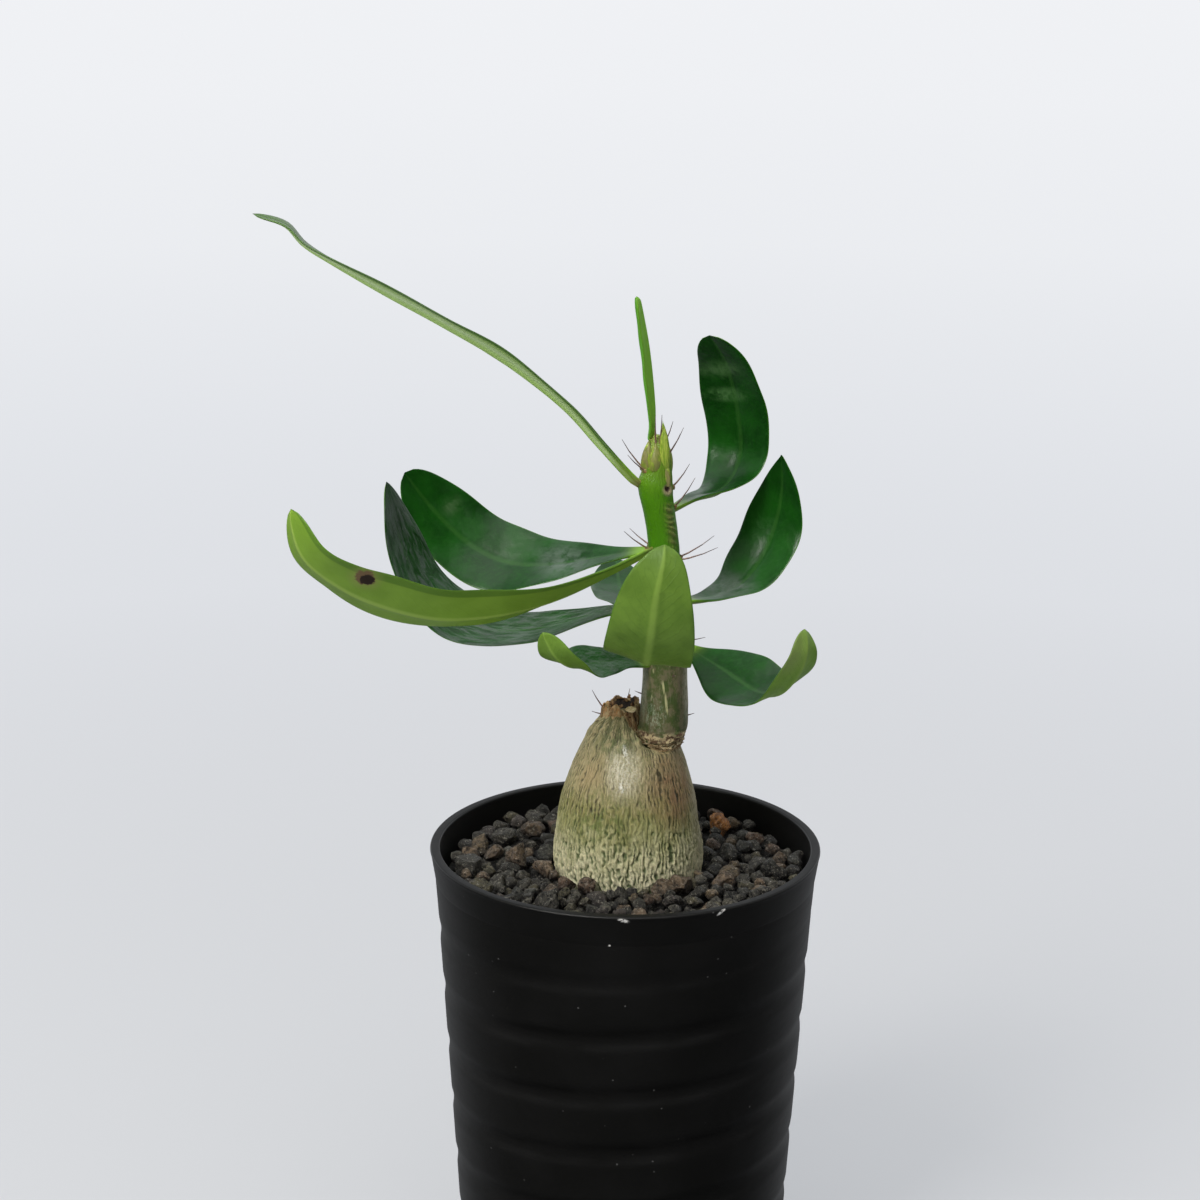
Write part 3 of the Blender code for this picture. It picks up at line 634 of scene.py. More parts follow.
class Seats:
    def __init__(self):
        self.rows = np.zeros((0, 4))

    # how high a grain of this radius comes to rest at a place
    def height(self, x, y, radius, packing=0.80):
        rest = grit["top"] - grit["bedDrop"] + radius * 0.3
        if len(self.rows):
            away = np.hypot(self.rows[:, 0] - x, self.rows[:, 1] - y)
            reach = (self.rows[:, 3] + radius) * packing
            near = away < reach
            if near.any():
                over = np.sqrt(reach[near] ** 2 - away[near] ** 2)
                rest = max(rest, float(np.max(self.rows[near, 2] + over)))
        return rest

    def add(self, x, y, z, radius):
        self.rows = np.vstack([self.rows, (x, y, z, radius)])


def freeSpot(draw, radius):
    while True:
        reach = math.sqrt(draw.uniform(0.09, 1)) * (innerWall(grit["wallHeight"]) - radius)
        around = draw.uniform(0, fullTurn)
        x, y = reach * math.cos(around), reach * math.sin(around)
        if clearOfTrunk(x, y, radius, 0.82):
            return x, y


def makeGrit():
    draw = random.Random(grit["seed"])
    fine, plain, rough = ([stoneShape(draw, level) for _ in range(grit["shapes"])] for level in (4, 3, 2))
    seats = Seats()
    stones = {"gritStones": [], "gritGrains": [], "gritBelow": []}

    def lay(x, y, z, radius, tone, shapes, group):
        seats.add(x, y, z, radius)
        copy = draw.choice(shapes).copy()
        copy.data = copy.data.copy()
        bpy.context.scene.collection.objects.link(copy)
        turn = Euler([draw.uniform(0, 6.28) for _ in range(3)]).to_matrix().to_4x4()
        squash = Matrix.Diagonal([draw.uniform(*ends) for ends in grit["squash"]] + [1])
        copy.data.transform(Matrix.Translation(Vector((x, y, z)) * mm) @ tumble(draw, 0.35) @ squash @ turn
                            @ Matrix.Scale(radius * mm, 4))
        light = draw.uniform(0.78, 1.38)
        colour = np.array([part * light for part in tones[tone]] + [draw.random()])
        # the undersides and the grains deeper down are painted darker, as painted shade
        height = points(copy)[:, 2] / mm
        underShade = 0.13 + 0.87 * smoothstep(-0.62, 0.50, (height - z) / radius)
        rows = np.tile(colour, (len(height), 1))
        rows[:, :3] *= (underShade * smoothstep(-4.2, 1.0, height - grit["top"]))[:, None]
        layer = copy.data.attributes.new("tone", "FLOAT_COLOR", "POINT")
        layer.data.foreach_set("color", rows.ravel().astype(np.float32))
        stones[group].append(copy)

    # a lower layer, mostly hidden, drawn mostly from the darkest tones as painted shade between the grains
    # above
    for _ in range(grit["layer"]):
        radius = draw.uniform(1.5, 2.5)
        x, y = freeSpot(draw, radius)
        z = seats.height(x, y, radius, 0.62)
        if z < grit["top"] - 1.2:
            lay(x, y, z, radius, draw.choice(("black", "dark", "grey", "black")), rough, "gritBelow")
    for x, y, size, tone in grit["heroes"]:
        radius = size * 0.46
        z = min(seats.height(x, y, radius, 0.75), grit["top"] + 0.8 + radius * 0.2)
        lay(x, y, z, radius, tone, fine, "gritStones")
    # the rest go where they lie lowest
    for _ in range(grit["fill"]):
        best = None
        for _ in range(grit["tries"]):
            share = draw.random() ** 1.5
            x, y = freeSpot(draw, 1.5)
            least, most = grit["frontSizes"] if y < grit["frontFrom"] else grit["sizes"]
            radius = (least + (most - least) * share) / 2
            inside = math.hypot(x, y) <= innerWall(grit["wallHeight"]) - radius
            if inside and clearOfTrunk(x, y, radius, 0.8):
                z = seats.height(x, y, radius)
                if best is None or z + radius < best[2] + best[3]:
                    best = (x, y, z, radius)
        if best and best[2] + best[3] < grit["top"] + 2.9:
            shapes = plain if best[3] * 2 > grit["large"] else rough
            lay(*best, draw.choice(grit["mix"]), shapes, "gritGrains")
    for shape in fine + plain + rough:
        bpy.data.objects.remove(shape, do_unlink=True)

    # the bed that the grains lie in, near black as painted shade in the gaps
    floor = pot["footHeight"] + pot["floor"] + 0.3
    top = grit["top"] - grit["bedDrop"] + 0.6
    bed = turned("gritBed", [(0, floor), (innerRadius(floor) - 0.5, floor), (innerRadius(50) - 0.35, 50),
                             (innerWall(top - 1), top - 1), (innerWall(top) - 0.6, top), (24, top),
                             (17.5, top + 1), (15.4, top - 2), (0, top - 2)], 96)
    paint = stonePaint()
    for name, group in stones.items():
        finishPiece(joined(name, group), "grit", 42, paint)
    finishPiece(bed, "grit", 50, bedPaint(), node="substrate")
    print("grit:", {name: len(group) for name, group in stones.items()})


def stonePaint():
    paint = Paint("volcanicGrit")
    tone = paint.attribute("tone", "Color")
    mottle = paint.lumps(1.3, 4.0, 0.65)
    crust = paint.lumps(0.62, 4.0, 0.8)
    pit = (1 - paint.cells(0.95).step(0.14, 0.34)) * paint.lumps(1.4, 2.0).step(0.38, 0.52)
    glint = (1 - paint.cells(1.15).step(0.07, 0.14)) * paint.lumps(2.6, 1.0).step(0.44, 0.54)
    pick = paint.attribute("tone", "Alpha")
    light = paint.blend(tone, paint.blend(tone, (0.52, 0.49, 0.40), 0.5), 0.5 + 0.4 * pick)
    colour = paint.layered(paint.darken(tone, 0.32), (tone, mottle.step(0.40, 0.58)),
                           (light, crust.step(0.53, 0.66)))
    colour = paint.darken(colour, 1 - 0.8 * pit)
    colour = paint.blend(colour, paint.blend(tone, (0.75, 0.72, 0.64), 0.55), glint * 0.75)
    paint.surface(Base_Color=colour, Roughness=0.66 - 0.25 * glint)
    paint.relief((mottle, 0.7), (1 - pit, 0.55), (crust, 0.55), (paint.lumps(0.17, 3.0, 0.7), 0.10))
    return paint


def bedPaint():
    # near black: painted shade where the bed shows between the grains
    paint = Paint("gritBedShade")
    crumbs = paint.lumps(1.1, 4.0, 0.65)
    paint.surface(Base_Color=paint.blend((0.004, 0.004, 0.003), (0.014, 0.012, 0.01), crumbs.step(0.35, 0.7)),
                  Roughness=0.95)
    paint.relief((crumbs, 0.6))
    return paint


# Swollen trunk

trunk = {
    # height, radius and the middle's offset to the right at each level
    "levels": ((70, 1.4, 0.4), (80, 3.0, 0.4), (88, 6.0, 0.6), (94, 10.4, 0.8), (99, 14.2, 0.9),
               (104, 16.6, 0.9), (109, 17.2, 0.8), (116, 16.4, 0.6), (123, 15.1, 0.7),
               (129.5, 13.1, 0.9), (134.5, 11.1, 1.2), (138, 9.0, 1.0), (140.5, 6.6, 0.4),
               (142, 3.6, -0.4)),
    "rootTip": 68, "lobes": ((3, 0.010), (5, 0.008)),
    "steps": 500, "rows": 186, "hiddenRows": 12, "bareFrom": 101,
    # wrinkles run up the trunk: how many there are round it, how deep, and how long the unbroken ones are
    "wrinkles": 92, "wrinkleDeep": 0.36, "wrinkleLong": 1.75, "secondWrinkles": 131, "secondDeep": 0.18,
    "saddle": (7.6, -1.9), "saddleHeight": 134.9, "saddleReach": (5.2, 8.6),
    # a silvery patch of paler bark with a painted highlight over it: middle and reach
    "silverBarkAndHighlight": (-0.8, -12.5, 132.0), "silverBarkAndHighlightReach": (5.8, 9.0, 9.5),
    # bark from the foot up, over the given span of heights
    "barkSpan": (103, 40),
    "bark": ((0.0, (0.90, 0.84, 0.60)), (0.16, (0.77, 0.725, 0.465)), (0.38, (0.355, 0.345, 0.140)),
             (0.48, (0.255, 0.240, 0.077)), (0.66, (0.36, 0.305, 0.155)), (0.84, (0.28, 0.245, 0.115)),
             (1.0, (0.24, 0.22, 0.10))),
    "glints": (((-0.4, -11.0, 136.2), (0.8, 3.0, 2.2)), ((-1.0, -14.0, 128.6), (0.9, 3.0, 1.6))),
}


def trunkRadius(height):
    return onLevels(trunk["levels"], height)[1]


def trunkProfile():
    rows = evenCurve([Vector(level) for level in trunk["levels"]], 400)
    low = [row for row in rows if row.x < trunk["bareFrom"]]
    high = [row for row in rows if row.x >= trunk["bareFrom"]]
    chosen = low[::max(1, len(low) // trunk["hiddenRows"])]
    shown = evenCurve(high[::6] + [high[-1]], trunk["rows"] - trunk["hiddenRows"])
    return [(0, trunk["rootTip"])] + [(row.y, row.x) for row in chosen + shown] + [(0, shown[-1].x + 0.1)]


# Distance from the nearest wavy line up the trunk, in line spacings, and how open that line is there
def wrinkle(places, angle, count, length, seed):
    phase = angle * count / fullTurn + 0.95 * grain(places, (2.6, 2.6, 3.8), seed) \
        + 0.42 * grain(places, (0.75, 0.75, 1.1), seed + 7)
    line = np.round(phase)
    broken = noiseAt(np.stack([np.mod(line, count) * 0.73 + seed, line * 0, places[:, 2] / (length * mm)], 1))
    return np.abs(phase - line), smoothstep(-0.2, 0.12, broken)


def makeTrunk():
    body = turned("trunkBark", trunkProfile(), trunk["steps"])
    places, angle, radius, height = pointsRound(body)
    swell = sum(high * np.sin(count * angle + count) for count, high in trunk["lobes"])
    low = 1 - smoothstep(113, 123, height)
    shown = smoothstep(101, 104, height)
    top = smoothstep(132, 139, height)
    bright = (places / mm - np.array(trunk["silverBarkAndHighlight"])) / np.array(trunk["silverBarkAndHighlightReach"])
    smooth = 1 - 0.75 * (1 - smoothstep(0.3, 1.2, np.linalg.norm(bright, axis=1)))
    patchy = smoothstep(-0.35, 0.25, grain(places, (4, 4, 5), 55.0))
    depth = np.maximum(low, 0.5 + 0.5 * patchy) * smooth
    off, opened = wrinkle(places, angle, trunk["wrinkles"], trunk["wrinkleLong"], 3.3)
    wide = 0.15 + 0.04 * low
    crack = (1 - smoothstep(wide * 0.5, wide * 1.6, off)) * opened * depth
    away, parted = wrinkle(places, angle, trunk["secondWrinkles"], trunk["wrinkleLong"] * 0.7, 41.0)
    second = (1 - smoothstep(0.08, 0.24, away)) * parted * depth
    plate = np.minimum(off * 2.6, 1) ** 0.6
    across = (1 - smoothstep(0.02, 0.2, np.abs(grain(places, (0.85, 0.85, 0.75), 17.0)))) * low
    # folds gather towards the stump
    folds = np.sin(angle * 17 + 2.6 * grain(places, (5, 5, 6), 30.0))
    strength = 0.50 + 0.50 * low
    lift = trunk["wrinkleDeep"] * strength * ((plate - 0.75) * 0.6 - crack) \
        - trunk["secondDeep"] * strength * second - 0.10 * across * low \
        + 0.10 * grain(places, (0.6, 0.6, 1.0), 12.0) * strength + 0.30 * grain(places, (6.5, 6.5, 8), 5.0) \
        + top * (0.46 * folds + 0.42 * grain(places, (1.4, 1.4, 3.0), 1.0))
    reach = radius * (1 + swell) + lift * mm * shown * np.minimum(radius / (3 * mm), 1)
    x = np.array([onLevels(trunk["levels"], h)[2] for h in height]) * mm + reach * np.cos(angle)
    y = reach * np.sin(angle)
    sideX, sideY = trunk["saddle"]
    near = 1 - smoothstep(*trunk["saddleReach"], np.hypot(x / mm - sideX, y / mm - sideY))
    drop = near * np.maximum(height - trunk["saddleHeight"], 0)
    setPoints(body, np.stack([x, y, places[:, 2] - drop * mm], 1))
    mark(body, crack=np.maximum(crack, second * 0.5 + across * 0.35), plate=plate * (1 - 0.5 * second),
         fold=top * (0.5 + 0.5 * folds), valley=top * smoothstep(0.1, 0.9, -folds))

    paint = Paint("trunkBark")
    crack, plate, fold, valley = (paint.attribute(name) for name in ("crack", "plate", "fold", "valley"))
    cloud = paint.lumps((6, 6, 5), 3.0, 0.6)
    streak = paint.lumps((0.55, 0.55, 2.6), 4.0, 0.65)
    mealy = paint.lumps(0.42, 3.0, 0.65)
    fleck = paint.lumps((1.5, 1.5, 2.6), 4.0, 0.65)
    wander = paint.axis("Z") / mm + 9 * (cloud - 0.5) + 11 * (paint.lumps((1.7, 1.7, 6.0), 3.0, 0.6) - 0.5)
    low = 1 - wander.step(112, 126)
    green = paint.spot((-6.0, -14.0, 119.5), (14.0, 12.0, 7.5), soft=0.85)
    brown = paint.spot((11.2, -10.5, 127.6), (8.8, 12.0, 13.5), soft=0.8)
    # a paler patch down the right-hand edge: painted rim light
    edge = paint.spot((17.0, -3.0, 120.0), (4.0, 12.0, 17.0), soft=0.8)
    tan = paint.spot((-9.5, -10.0, 131.0), (7.0, 9.0, 7.0), soft=0.85)
    # paler silvery bark with a painted highlight on it
    silverBarkAndHighlight = paint.spot(trunk["silverBarkAndHighlight"], trunk["silverBarkAndHighlightReach"], soft=0.9)
    moss = paint.spot((-2.6, -8.0, 137.5), (7.5, 8.0, 4.0), soft=0.8)
    deep = paint.blend((0.058, 0.048, 0.019), (0.045, 0.102, 0.019), low)
    first, span = trunk["barkSpan"]
    colour = paint.layered(
        paint.ramp((wander - first) / span, trunk["bark"]),
        ((0.115, 0.135, 0.042), (1 - streak.step(0.36, 0.54)) * (0.6 - 0.35 * low)),
        ((0.66, 0.57, 0.36), streak.step(0.54, 0.72) * 0.45),
        ((0.100, 0.150, 0.028), green * fleck.step(0.45, 0.60) * 0.65),
        ((0.255, 0.155, 0.072), brown * (0.55 + 0.45 * cloud.step(0.35, 0.58))),
        ((0.46, 0.40, 0.27), edge * 0.6),
        ((0.38, 0.285, 0.135), tan * cloud.step(0.3, 0.6) * 0.75),
        ((0.66, 0.635, 0.50), silverBarkAndHighlight * mealy.step(0.26, 0.62) * (0.45 + 0.5 * streak.step(0.4, 0.6))),
        ((0.11, 0.155, 0.045), moss * fleck.step(0.42, 0.58) * 0.7),
        ((0.46, 0.38, 0.20), fold * (1 - fleck.step(0.4, 0.6)) * 0.6),
        ((0.060, 0.070, 0.022), valley * fleck.step(0.40, 0.54) * 0.5),
        (deep, crack.step(0.0, 0.8) * (1 - low) * (0.5 + 0.5 * fleck.step(0.38, 0.52)) + crack * low * 0.85))
    for place, reach in trunk["glints"]:
        glint = paint.spot(place, reach, 0.2, 0.8) * mealy.step(0.38, 0.58)
        colour = paint.blend(colour, (0.88, 0.88, 0.82), glint * 0.8)
    paint.surface(Base_Color=paint.darken(colour, 0.84 + 0.26 * plate),
                  Roughness=0.52 - 0.2 * silverBarkAndHighlight + 0.2 * (mealy - 0.5))
    paint.relief((streak, 0.34), (mealy, 0.09))
    finishPiece(body, "trunk", 80, paint, node="caudex")


# Young shoot

shoot = {
    # the middle's x and y, height and radius
    "levels": ((7.3, -2.3, 134.2, 3.2), (7.5, -2.2, 135.4, 4.2), (7.8, -2.1, 137, 5.0),
               (8.4, -1.8, 139.8, 5.6), (8.6, -1.4, 145.0, 5.4), (8.6, -1.0, 151, 5.1),
               (8.5, -1.0, 157, 4.9), (8.4, -0.6, 163, 4.5), (8.2, -0.2, 170, 4.0),
               (8.1, 0.0, 176, 3.65), (7.9, 0.0, 181.5, 3.5), (7.5, 0.0, 185.5, 3.45),
               (6.9, 0.0, 189.2, 3.5), (6.1, 0.0, 193.2, 3.9), (5.8, 0.0, 196.2, 4.0),
               (6.2, 0.0, 198.7, 3.2), (6.4, 0.0, 201, 2.85), (6.1, 0.0, 203.6, 2.2),
               (6.1, 0.0, 205.4, 1.5), (6.3, 0.0, 206.8, 0.8)),
    "steps": 128, "rows": 250, "blur": (-1.2, -0.6, 0, 0.6, 1.2),
    # skin from the foot up, over the given span of heights
    "skinSpan": (136, 72),
    "skin": ((0.0, (0.064, 0.084, 0.022)), (0.25, (0.070, 0.092, 0.022)), (0.42, (0.072, 0.120, 0.020)),
             (0.58, (0.050, 0.195, 0.001)), (0.80, (0.075, 0.245, 0.001)), (0.9, (0.13, 0.25, 0.015)),
             (1.0, (0.24, 0.31, 0.05))),
    "scratches": (((8.9, -6.4, 146.0), (0.42, 1.6, 3.4)), ((8.2, -6.2, 150.0), (0.32, 1.5, 2.0)),
                  ((5.9, -5.7, 153.5), (0.25, 1.5, 0.8))),
    # painted sheen down the shoot's two edges: middles of the stripes
    "flankSheens": ((3.3, -2.0, 149.0), (13.9, -2.0, 149.0)),
}


def shootAt(height):
    return onLevels(shoot["levels"], height, 2)


def makeShoot():
    low, high = shoot["levels"][0][2], shoot["levels"][-1][2]
    profile = [(0, low)]
    for i in range(shoot["rows"] + 1):
        height = low + (high - low) * i / shoot["rows"]
        profile.append((sum(shootAt(height + d)[3] for d in shoot["blur"]) / len(shoot["blur"]), height))
    body = turned("shootBark", profile + [(0, high + 0.3)], shoot["steps"])
    places, angle, radius, height = pointsRound(body)
    old = 1 - smoothstep(160, 172, height)
    callus = smoothstep(135.5, 137, height) * (1 - smoothstep(138.2, 140, height))
    ribs = smoothstep(180, 184, height) * (1 - smoothstep(190.5, 193, height))
    ribs = ribs * np.exp(-((angle + 0.86) / 0.34) ** 2)
    comb = np.sin((height + 1.4 * angle + 0.7 * grain(places, (2, 2, 2), 6.0)) * fullTurn / 1.5)
    scar = np.exp(-((angle + 0.80) / 0.46) ** 2 - ((height - 195.0) / 1.6) ** 2)
    pit = np.exp(-((angle + 0.82) / 0.19) ** 2 - ((height - 195.3) / 0.75) ** 2)
    lift = 0.10 * old * grain(places, (1.2, 1.2, 6)) + 0.22 * grain(places, (5, 5, 7), 2.0) \
        + callus * (0.35 + 0.9 * grain(places, (2.2, 2.2, 0.9), 4.0)) + ribs * (0.16 * comb + 0.10) \
        + 0.55 * scar - 1.1 * pit
    x, y = np.array([shootAt(h)[:2] for h in height]).T * mm
    setRound(body, radius + lift * mm * np.minimum(radius / (2 * mm), 1), angle, places[:, 2], x, y)
    mark(body, callus=callus * (0.6 + grain(places, (1.6, 1.6, 0.8), 4.0)), ribs=ribs * (0.5 + 0.5 * comb),
         strip=ribs, scar=scar, pit=pit)

    paint = Paint("shootSkin")
    up = paint.axis("Z") / mm
    cloud = paint.lumps((4, 4, 8))
    streak = paint.lumps((0.6, 0.6, 4.0), 4.0, 0.65)
    net = paint.lumps((0.45, 0.45, 0.9), 3.0, 0.65)
    patch = paint.lumps((2.0, 2.0, 2.6), 4.0, 0.65)
    old = 1 - up.step(158, 176)
    right = paint.spot((13.0, -3.0, 152), (4.6, 6.0, 13.0), soft=0.7)
    # a paler silvery patch low on the front: a painted highlight
    silverBarkAndHighlight = paint.spot((6.2, -6.5, 143.5), (3.6, 4.5, 5.5), soft=0.8)
    first, span = shoot["skinSpan"]
    colour = paint.layered(
        paint.ramp((up + 6 * (cloud - 0.5) - first) / span, shoot["skin"]),
        ((0.040, 0.062, 0.014), old * (1 - streak.step(0.32, 0.52)) * 0.7),
        ((0.20, 0.20, 0.105), old * net.step(0.54, 0.7) * 0.4),
        ((0.44, 0.42, 0.24), old * streak.step(0.60, 0.72) * 0.8),
        ((0.165, 0.135, 0.075), old * patch.step(0.46, 0.60) * 0.7),
        ((0.038, 0.080, 0.010), old * (1 - patch.step(0.38, 0.48)) * 0.55),
        ((0.17, 0.125, 0.075), right * net.step(0.35, 0.6) * 0.6),
        ((0.34, 0.40, 0.27), silverBarkAndHighlight * net.step(0.45, 0.65) * 0.65))
    for place, reach in shoot["scratches"]:
        scratch = paint.spot(place, reach, 0.1, 0.6)
        colour = paint.blend(colour, (0.52, 0.49, 0.25), scratch * streak.step(0.3, 0.5) * 0.85)
    # paler stripes down the shoot's left and right edges: painted sheen where it turns away
    for place in shoot["flankSheens"]:
        flankSheen = paint.spot(place, (2.0, 6.0, 13.0), soft=0.9)
        colour = paint.blend(colour, (0.42, 0.41, 0.29), flankSheen * net.step(0.28, 0.60) * 0.9)
    crust = paint.blend((0.10, 0.055, 0.028), (0.46, 0.37, 0.20), paint.lumps(0.7).step(0.4, 0.6))
    colour = paint.layered(
        colour, (crust, paint.attribute("callus").step(0.1, 0.5)),
        ((0.085, 0.115, 0.020), paint.attribute("strip") * 0.75),
        ((0.24, 0.25, 0.070), paint.attribute("ribs") * 0.6),
        ((0.34, 0.27, 0.16), paint.attribute("scar").step(0.3, 0.8) * 0.85),
        ((0.045, 0.022, 0.012), paint.attribute("pit").step(0.25, 0.6)))
    paint.surface(Base_Color=colour, Roughness=0.34 + 0.2 * old + 0.15 * (net - 0.5), Specular_IOR_Level=0.4)
    paint.relief((streak, 0.30), (net, 0.12))
    finishPiece(body, "shoot", 80, paint, node="stem")


# Spines, in pairs at the leaf bases: height, azimuth (0 right, 90 back), rise in degrees, length

spines = {
    "radius": 0.25, "tip": 0.05, "sunk": 1.2, "bow": 0.05, "knob": 0.85, "seed": 3,
    # only long spines below this height have a swollen foot
    "knobFrom": 5.4, "knobBelow": 200,
    "onShoot": (
        (178.8, 8, 30, 9.2), (178.4, -8, 20, 9.2), (181.0, 190, 36, 7.0), (181.3, 152, 30, 6.0),
        (199.4, 176, 52, 8.0), (199.2, 214, 40, 6.5), (190.4, 8, 54, 8.0), (190.2, 72, 36, 6.5),
        (195.4, -10, 54, 6.5), (202.6, -8, 60, 5.5), (202.2, 24, 56, 7.0), (204.6, 30, 64, 5.5),
        (205.6, 258, 84, 6.0), (205.6, -66, 80, 6.5), (159.4, 10, 4, 4.8), (160.8, -44, 18, 4.0),
        (169.8, 60, 24, 5.0), (166.4, 140, 24, 5.0), (157.6, 236, 20, 4.0), (147.0, 182, 20, 1.8),
        (142.0, 0, 15, 1.6), (152.6, -70, 18, 2.0)),
    "onStump": ((142.6, 176, 56, 5.0), (141.4, 188, 14, 3.0), (140.4, 200, -6, 2.6), (142.8, 70, 50, 3.5)),
}


def spine(middle, radius, height, azimuth, rise, length):
    out = outward(math.radians(azimuth))
    ahead = out * math.cos(math.radians(rise)) + upright * math.sin(math.radians(rise))
    foot = Vector((*middle, height)) + out * radius - ahead * spines["sunk"]
    side = ahead.cross(upright).normalized()
    long = length + spines["sunk"]
    deselect()
    bpy.ops.mesh.primitive_cone_add(vertices=8, radius1=spines["radius"] * mm, radius2=spines["tip"] * mm,
                                    depth=long * mm)
    needle = bpy.context.object
    bpy.ops.object.mode_set(mode="EDIT")
    bpy.ops.mesh.select_all(action="SELECT")
    bpy.ops.mesh.subdivide(number_cuts=2)
    bpy.ops.object.mode_set(mode="OBJECT")
    turn = Matrix((side, ahead.cross(side), ahead)).transposed()
    for vertex in needle.data.vertices:
        along = vertex.co.z / (long * mm) + 0.5
        bow = spines["bow"] * length * math.sin(math.pi * along) * mm
        local = turn @ Vector((vertex.co.x, vertex.co.y + bow, 0))
        vertex.co = (foot + ahead * long * along) * mm + local
    mark(needle, along=[(vertex.co / mm - foot).length / long for vertex in needle.data.vertices])
    return needle


def makeSpines():
    draw = random.Random(spines["seed"])
    needles, knobs = [], []
    for height, azimuth, rise, length in spines["onShoot"]:
        x, y, _, radius = shootAt(height)
        needles.append(spine((x, y), radius * 0.97, height, azimuth, rise, length))
        if length > spines["knobFrom"] and height < spines["knobBelow"]:
            place = Vector((x, y, height - 0.2)) + outward(math.radians(azimuth)) * radius
            knob = spines["knob"]
            knobs.append(stoneChip(draw, place, (knob, knob * 0.85, knob * 0.8)))
    paint = Paint("spineHorn")
    horn = paint.ramp(paint.attribute("along"), (
        (0.0, (0.40, 0.19, 0.07)), (0.22, (0.24, 0.135, 0.09)), (0.6, (0.125, 0.072, 0.062)),
        (1.0, (0.04, 0.025, 0.025))))
    pale = paint.lumps(1.2, 2.0).step(0.45, 0.7)
    paint.surface(Base_Color=paint.blend(horn, (0.30, 0.20, 0.17), pale * 0.5), Roughness=0.42)
    finishPiece(joined("shootSpines", needles), "shoot", 60, paint)
    needles = [spine(stump["place"], stump["radius"] * 0.95, *row) for row in spines["onStump"]]
    finishPiece(joined("stumpSpines", needles), "trunk", 60, paint)
    knobPaint = Paint("spineFoot")
    patch = knobPaint.lumps(0.8)
    knobPaint.surface(Base_Color=knobPaint.ramp(patch, ((0.35, (0.10, 0.13, 0.02)), (0.5, (0.20, 0.15, 0.05)),
                                                        (0.65, (0.33, 0.17, 0.06)))), Roughness=0.55)
    knobPaint.relief((patch, 0.1))
    finishPiece(joined("spineFeet", knobs), "shoot", 60, knobPaint)


# Dry stump of the first shoot

stump = {
    "place": (-1.3, 1.0), "foot": 135, "top": 144.2, "radius": 4.0, "hollow": 2.2, "seed": 5, "rows": 34,
    "fibres": 46, "fibreFrom": 150, "fibreTo": 370, "flakes": 34,
    "cork": ((0.28, (0.018, 0.012, 0.008)), (0.42, (0.11, 0.060, 0.026)), (0.52, (0.25, 0.15, 0.065)),
             (0.66, (0.44, 0.34, 0.17))),
    "flakeCork": ((0.25, (0.035, 0.022, 0.014)), (0.42, (0.18, 0.085, 0.03)), (0.55, (0.34, 0.22, 0.10)),
                  (0.75, (0.52, 0.43, 0.24))),
}
collar = {  # the flaky ring where the shoot leaves the trunk: middle, radius, front azimuths, height, rise
    "place": (7.9, -2.0), "radius": 4.75, "from": 176, "to": 332, "height": 135.7, "rise": 2.7, "flakes": 84,
    "seed": 11,
    "cork": ((0.25, (0.055, 0.030, 0.016)), (0.40, (0.20, 0.125, 0.055)), (0.55, (0.38, 0.29, 0.145)),
             (0.75, (0.58, 0.50, 0.31))),
}


def corkPaint(name, stops):
    paint = Paint(name)
    patch = paint.lumps(0.9, 4.0, 0.7)
    paint.surface(Base_Color=paint.ramp(0.55 * patch + 0.45 * paint.attribute("tone"), stops), Roughness=0.85)
    paint.relief((patch, 0.35), (paint.lumps(0.22), 0.12))
    return paint


# A thin curled strip of bark, lying along one direction with its flat side towards another
def flake(draw, place, ahead, out, size, tone):
    length, width, thick = size
    ahead = ahead.normalized()
    side = out.cross(ahead).normalized()
    face = ahead.cross(side)
    bend = draw.uniform(0.1, 0.5)
    lean = draw.uniform(-0.4, 0.4)
    ragged = [draw.uniform(0.55, 1.0) for _ in range(8)]

    def placeOf(roundPart, along):
        angle = fullTurn * roundPart
        part = 2 * along - 1
        taper = math.sqrt(max(0.0, 1 - part ** 4)) * ragged[min(int(along * 8), 7)]
        across = math.cos(angle) * width * taper
        deep = math.sin(angle) * thick * taper
        curl = bend * (part * length * 0.5) ** 2 / length + 0.35 * across ** 2 / width
        return (place + ahead * (part * length / 2) + side * (across + lean * part)
                + face * (deep + curl)) * mm

    strip = sheet("flake", 8, 8, placeOf)
    mark(strip, tone=tone)
    return strip


# How far the rim has worn down at an angle: most at the front right, a little on the left
def stumpWorn(angle):
    angle = np.arctan2(np.sin(angle), np.cos(angle))
    return 2.2 * np.exp(-((angle + 1.05) / 0.66) ** 2) + 1.1 * smoothstep(0.2, 0.9, -np.cos(angle))


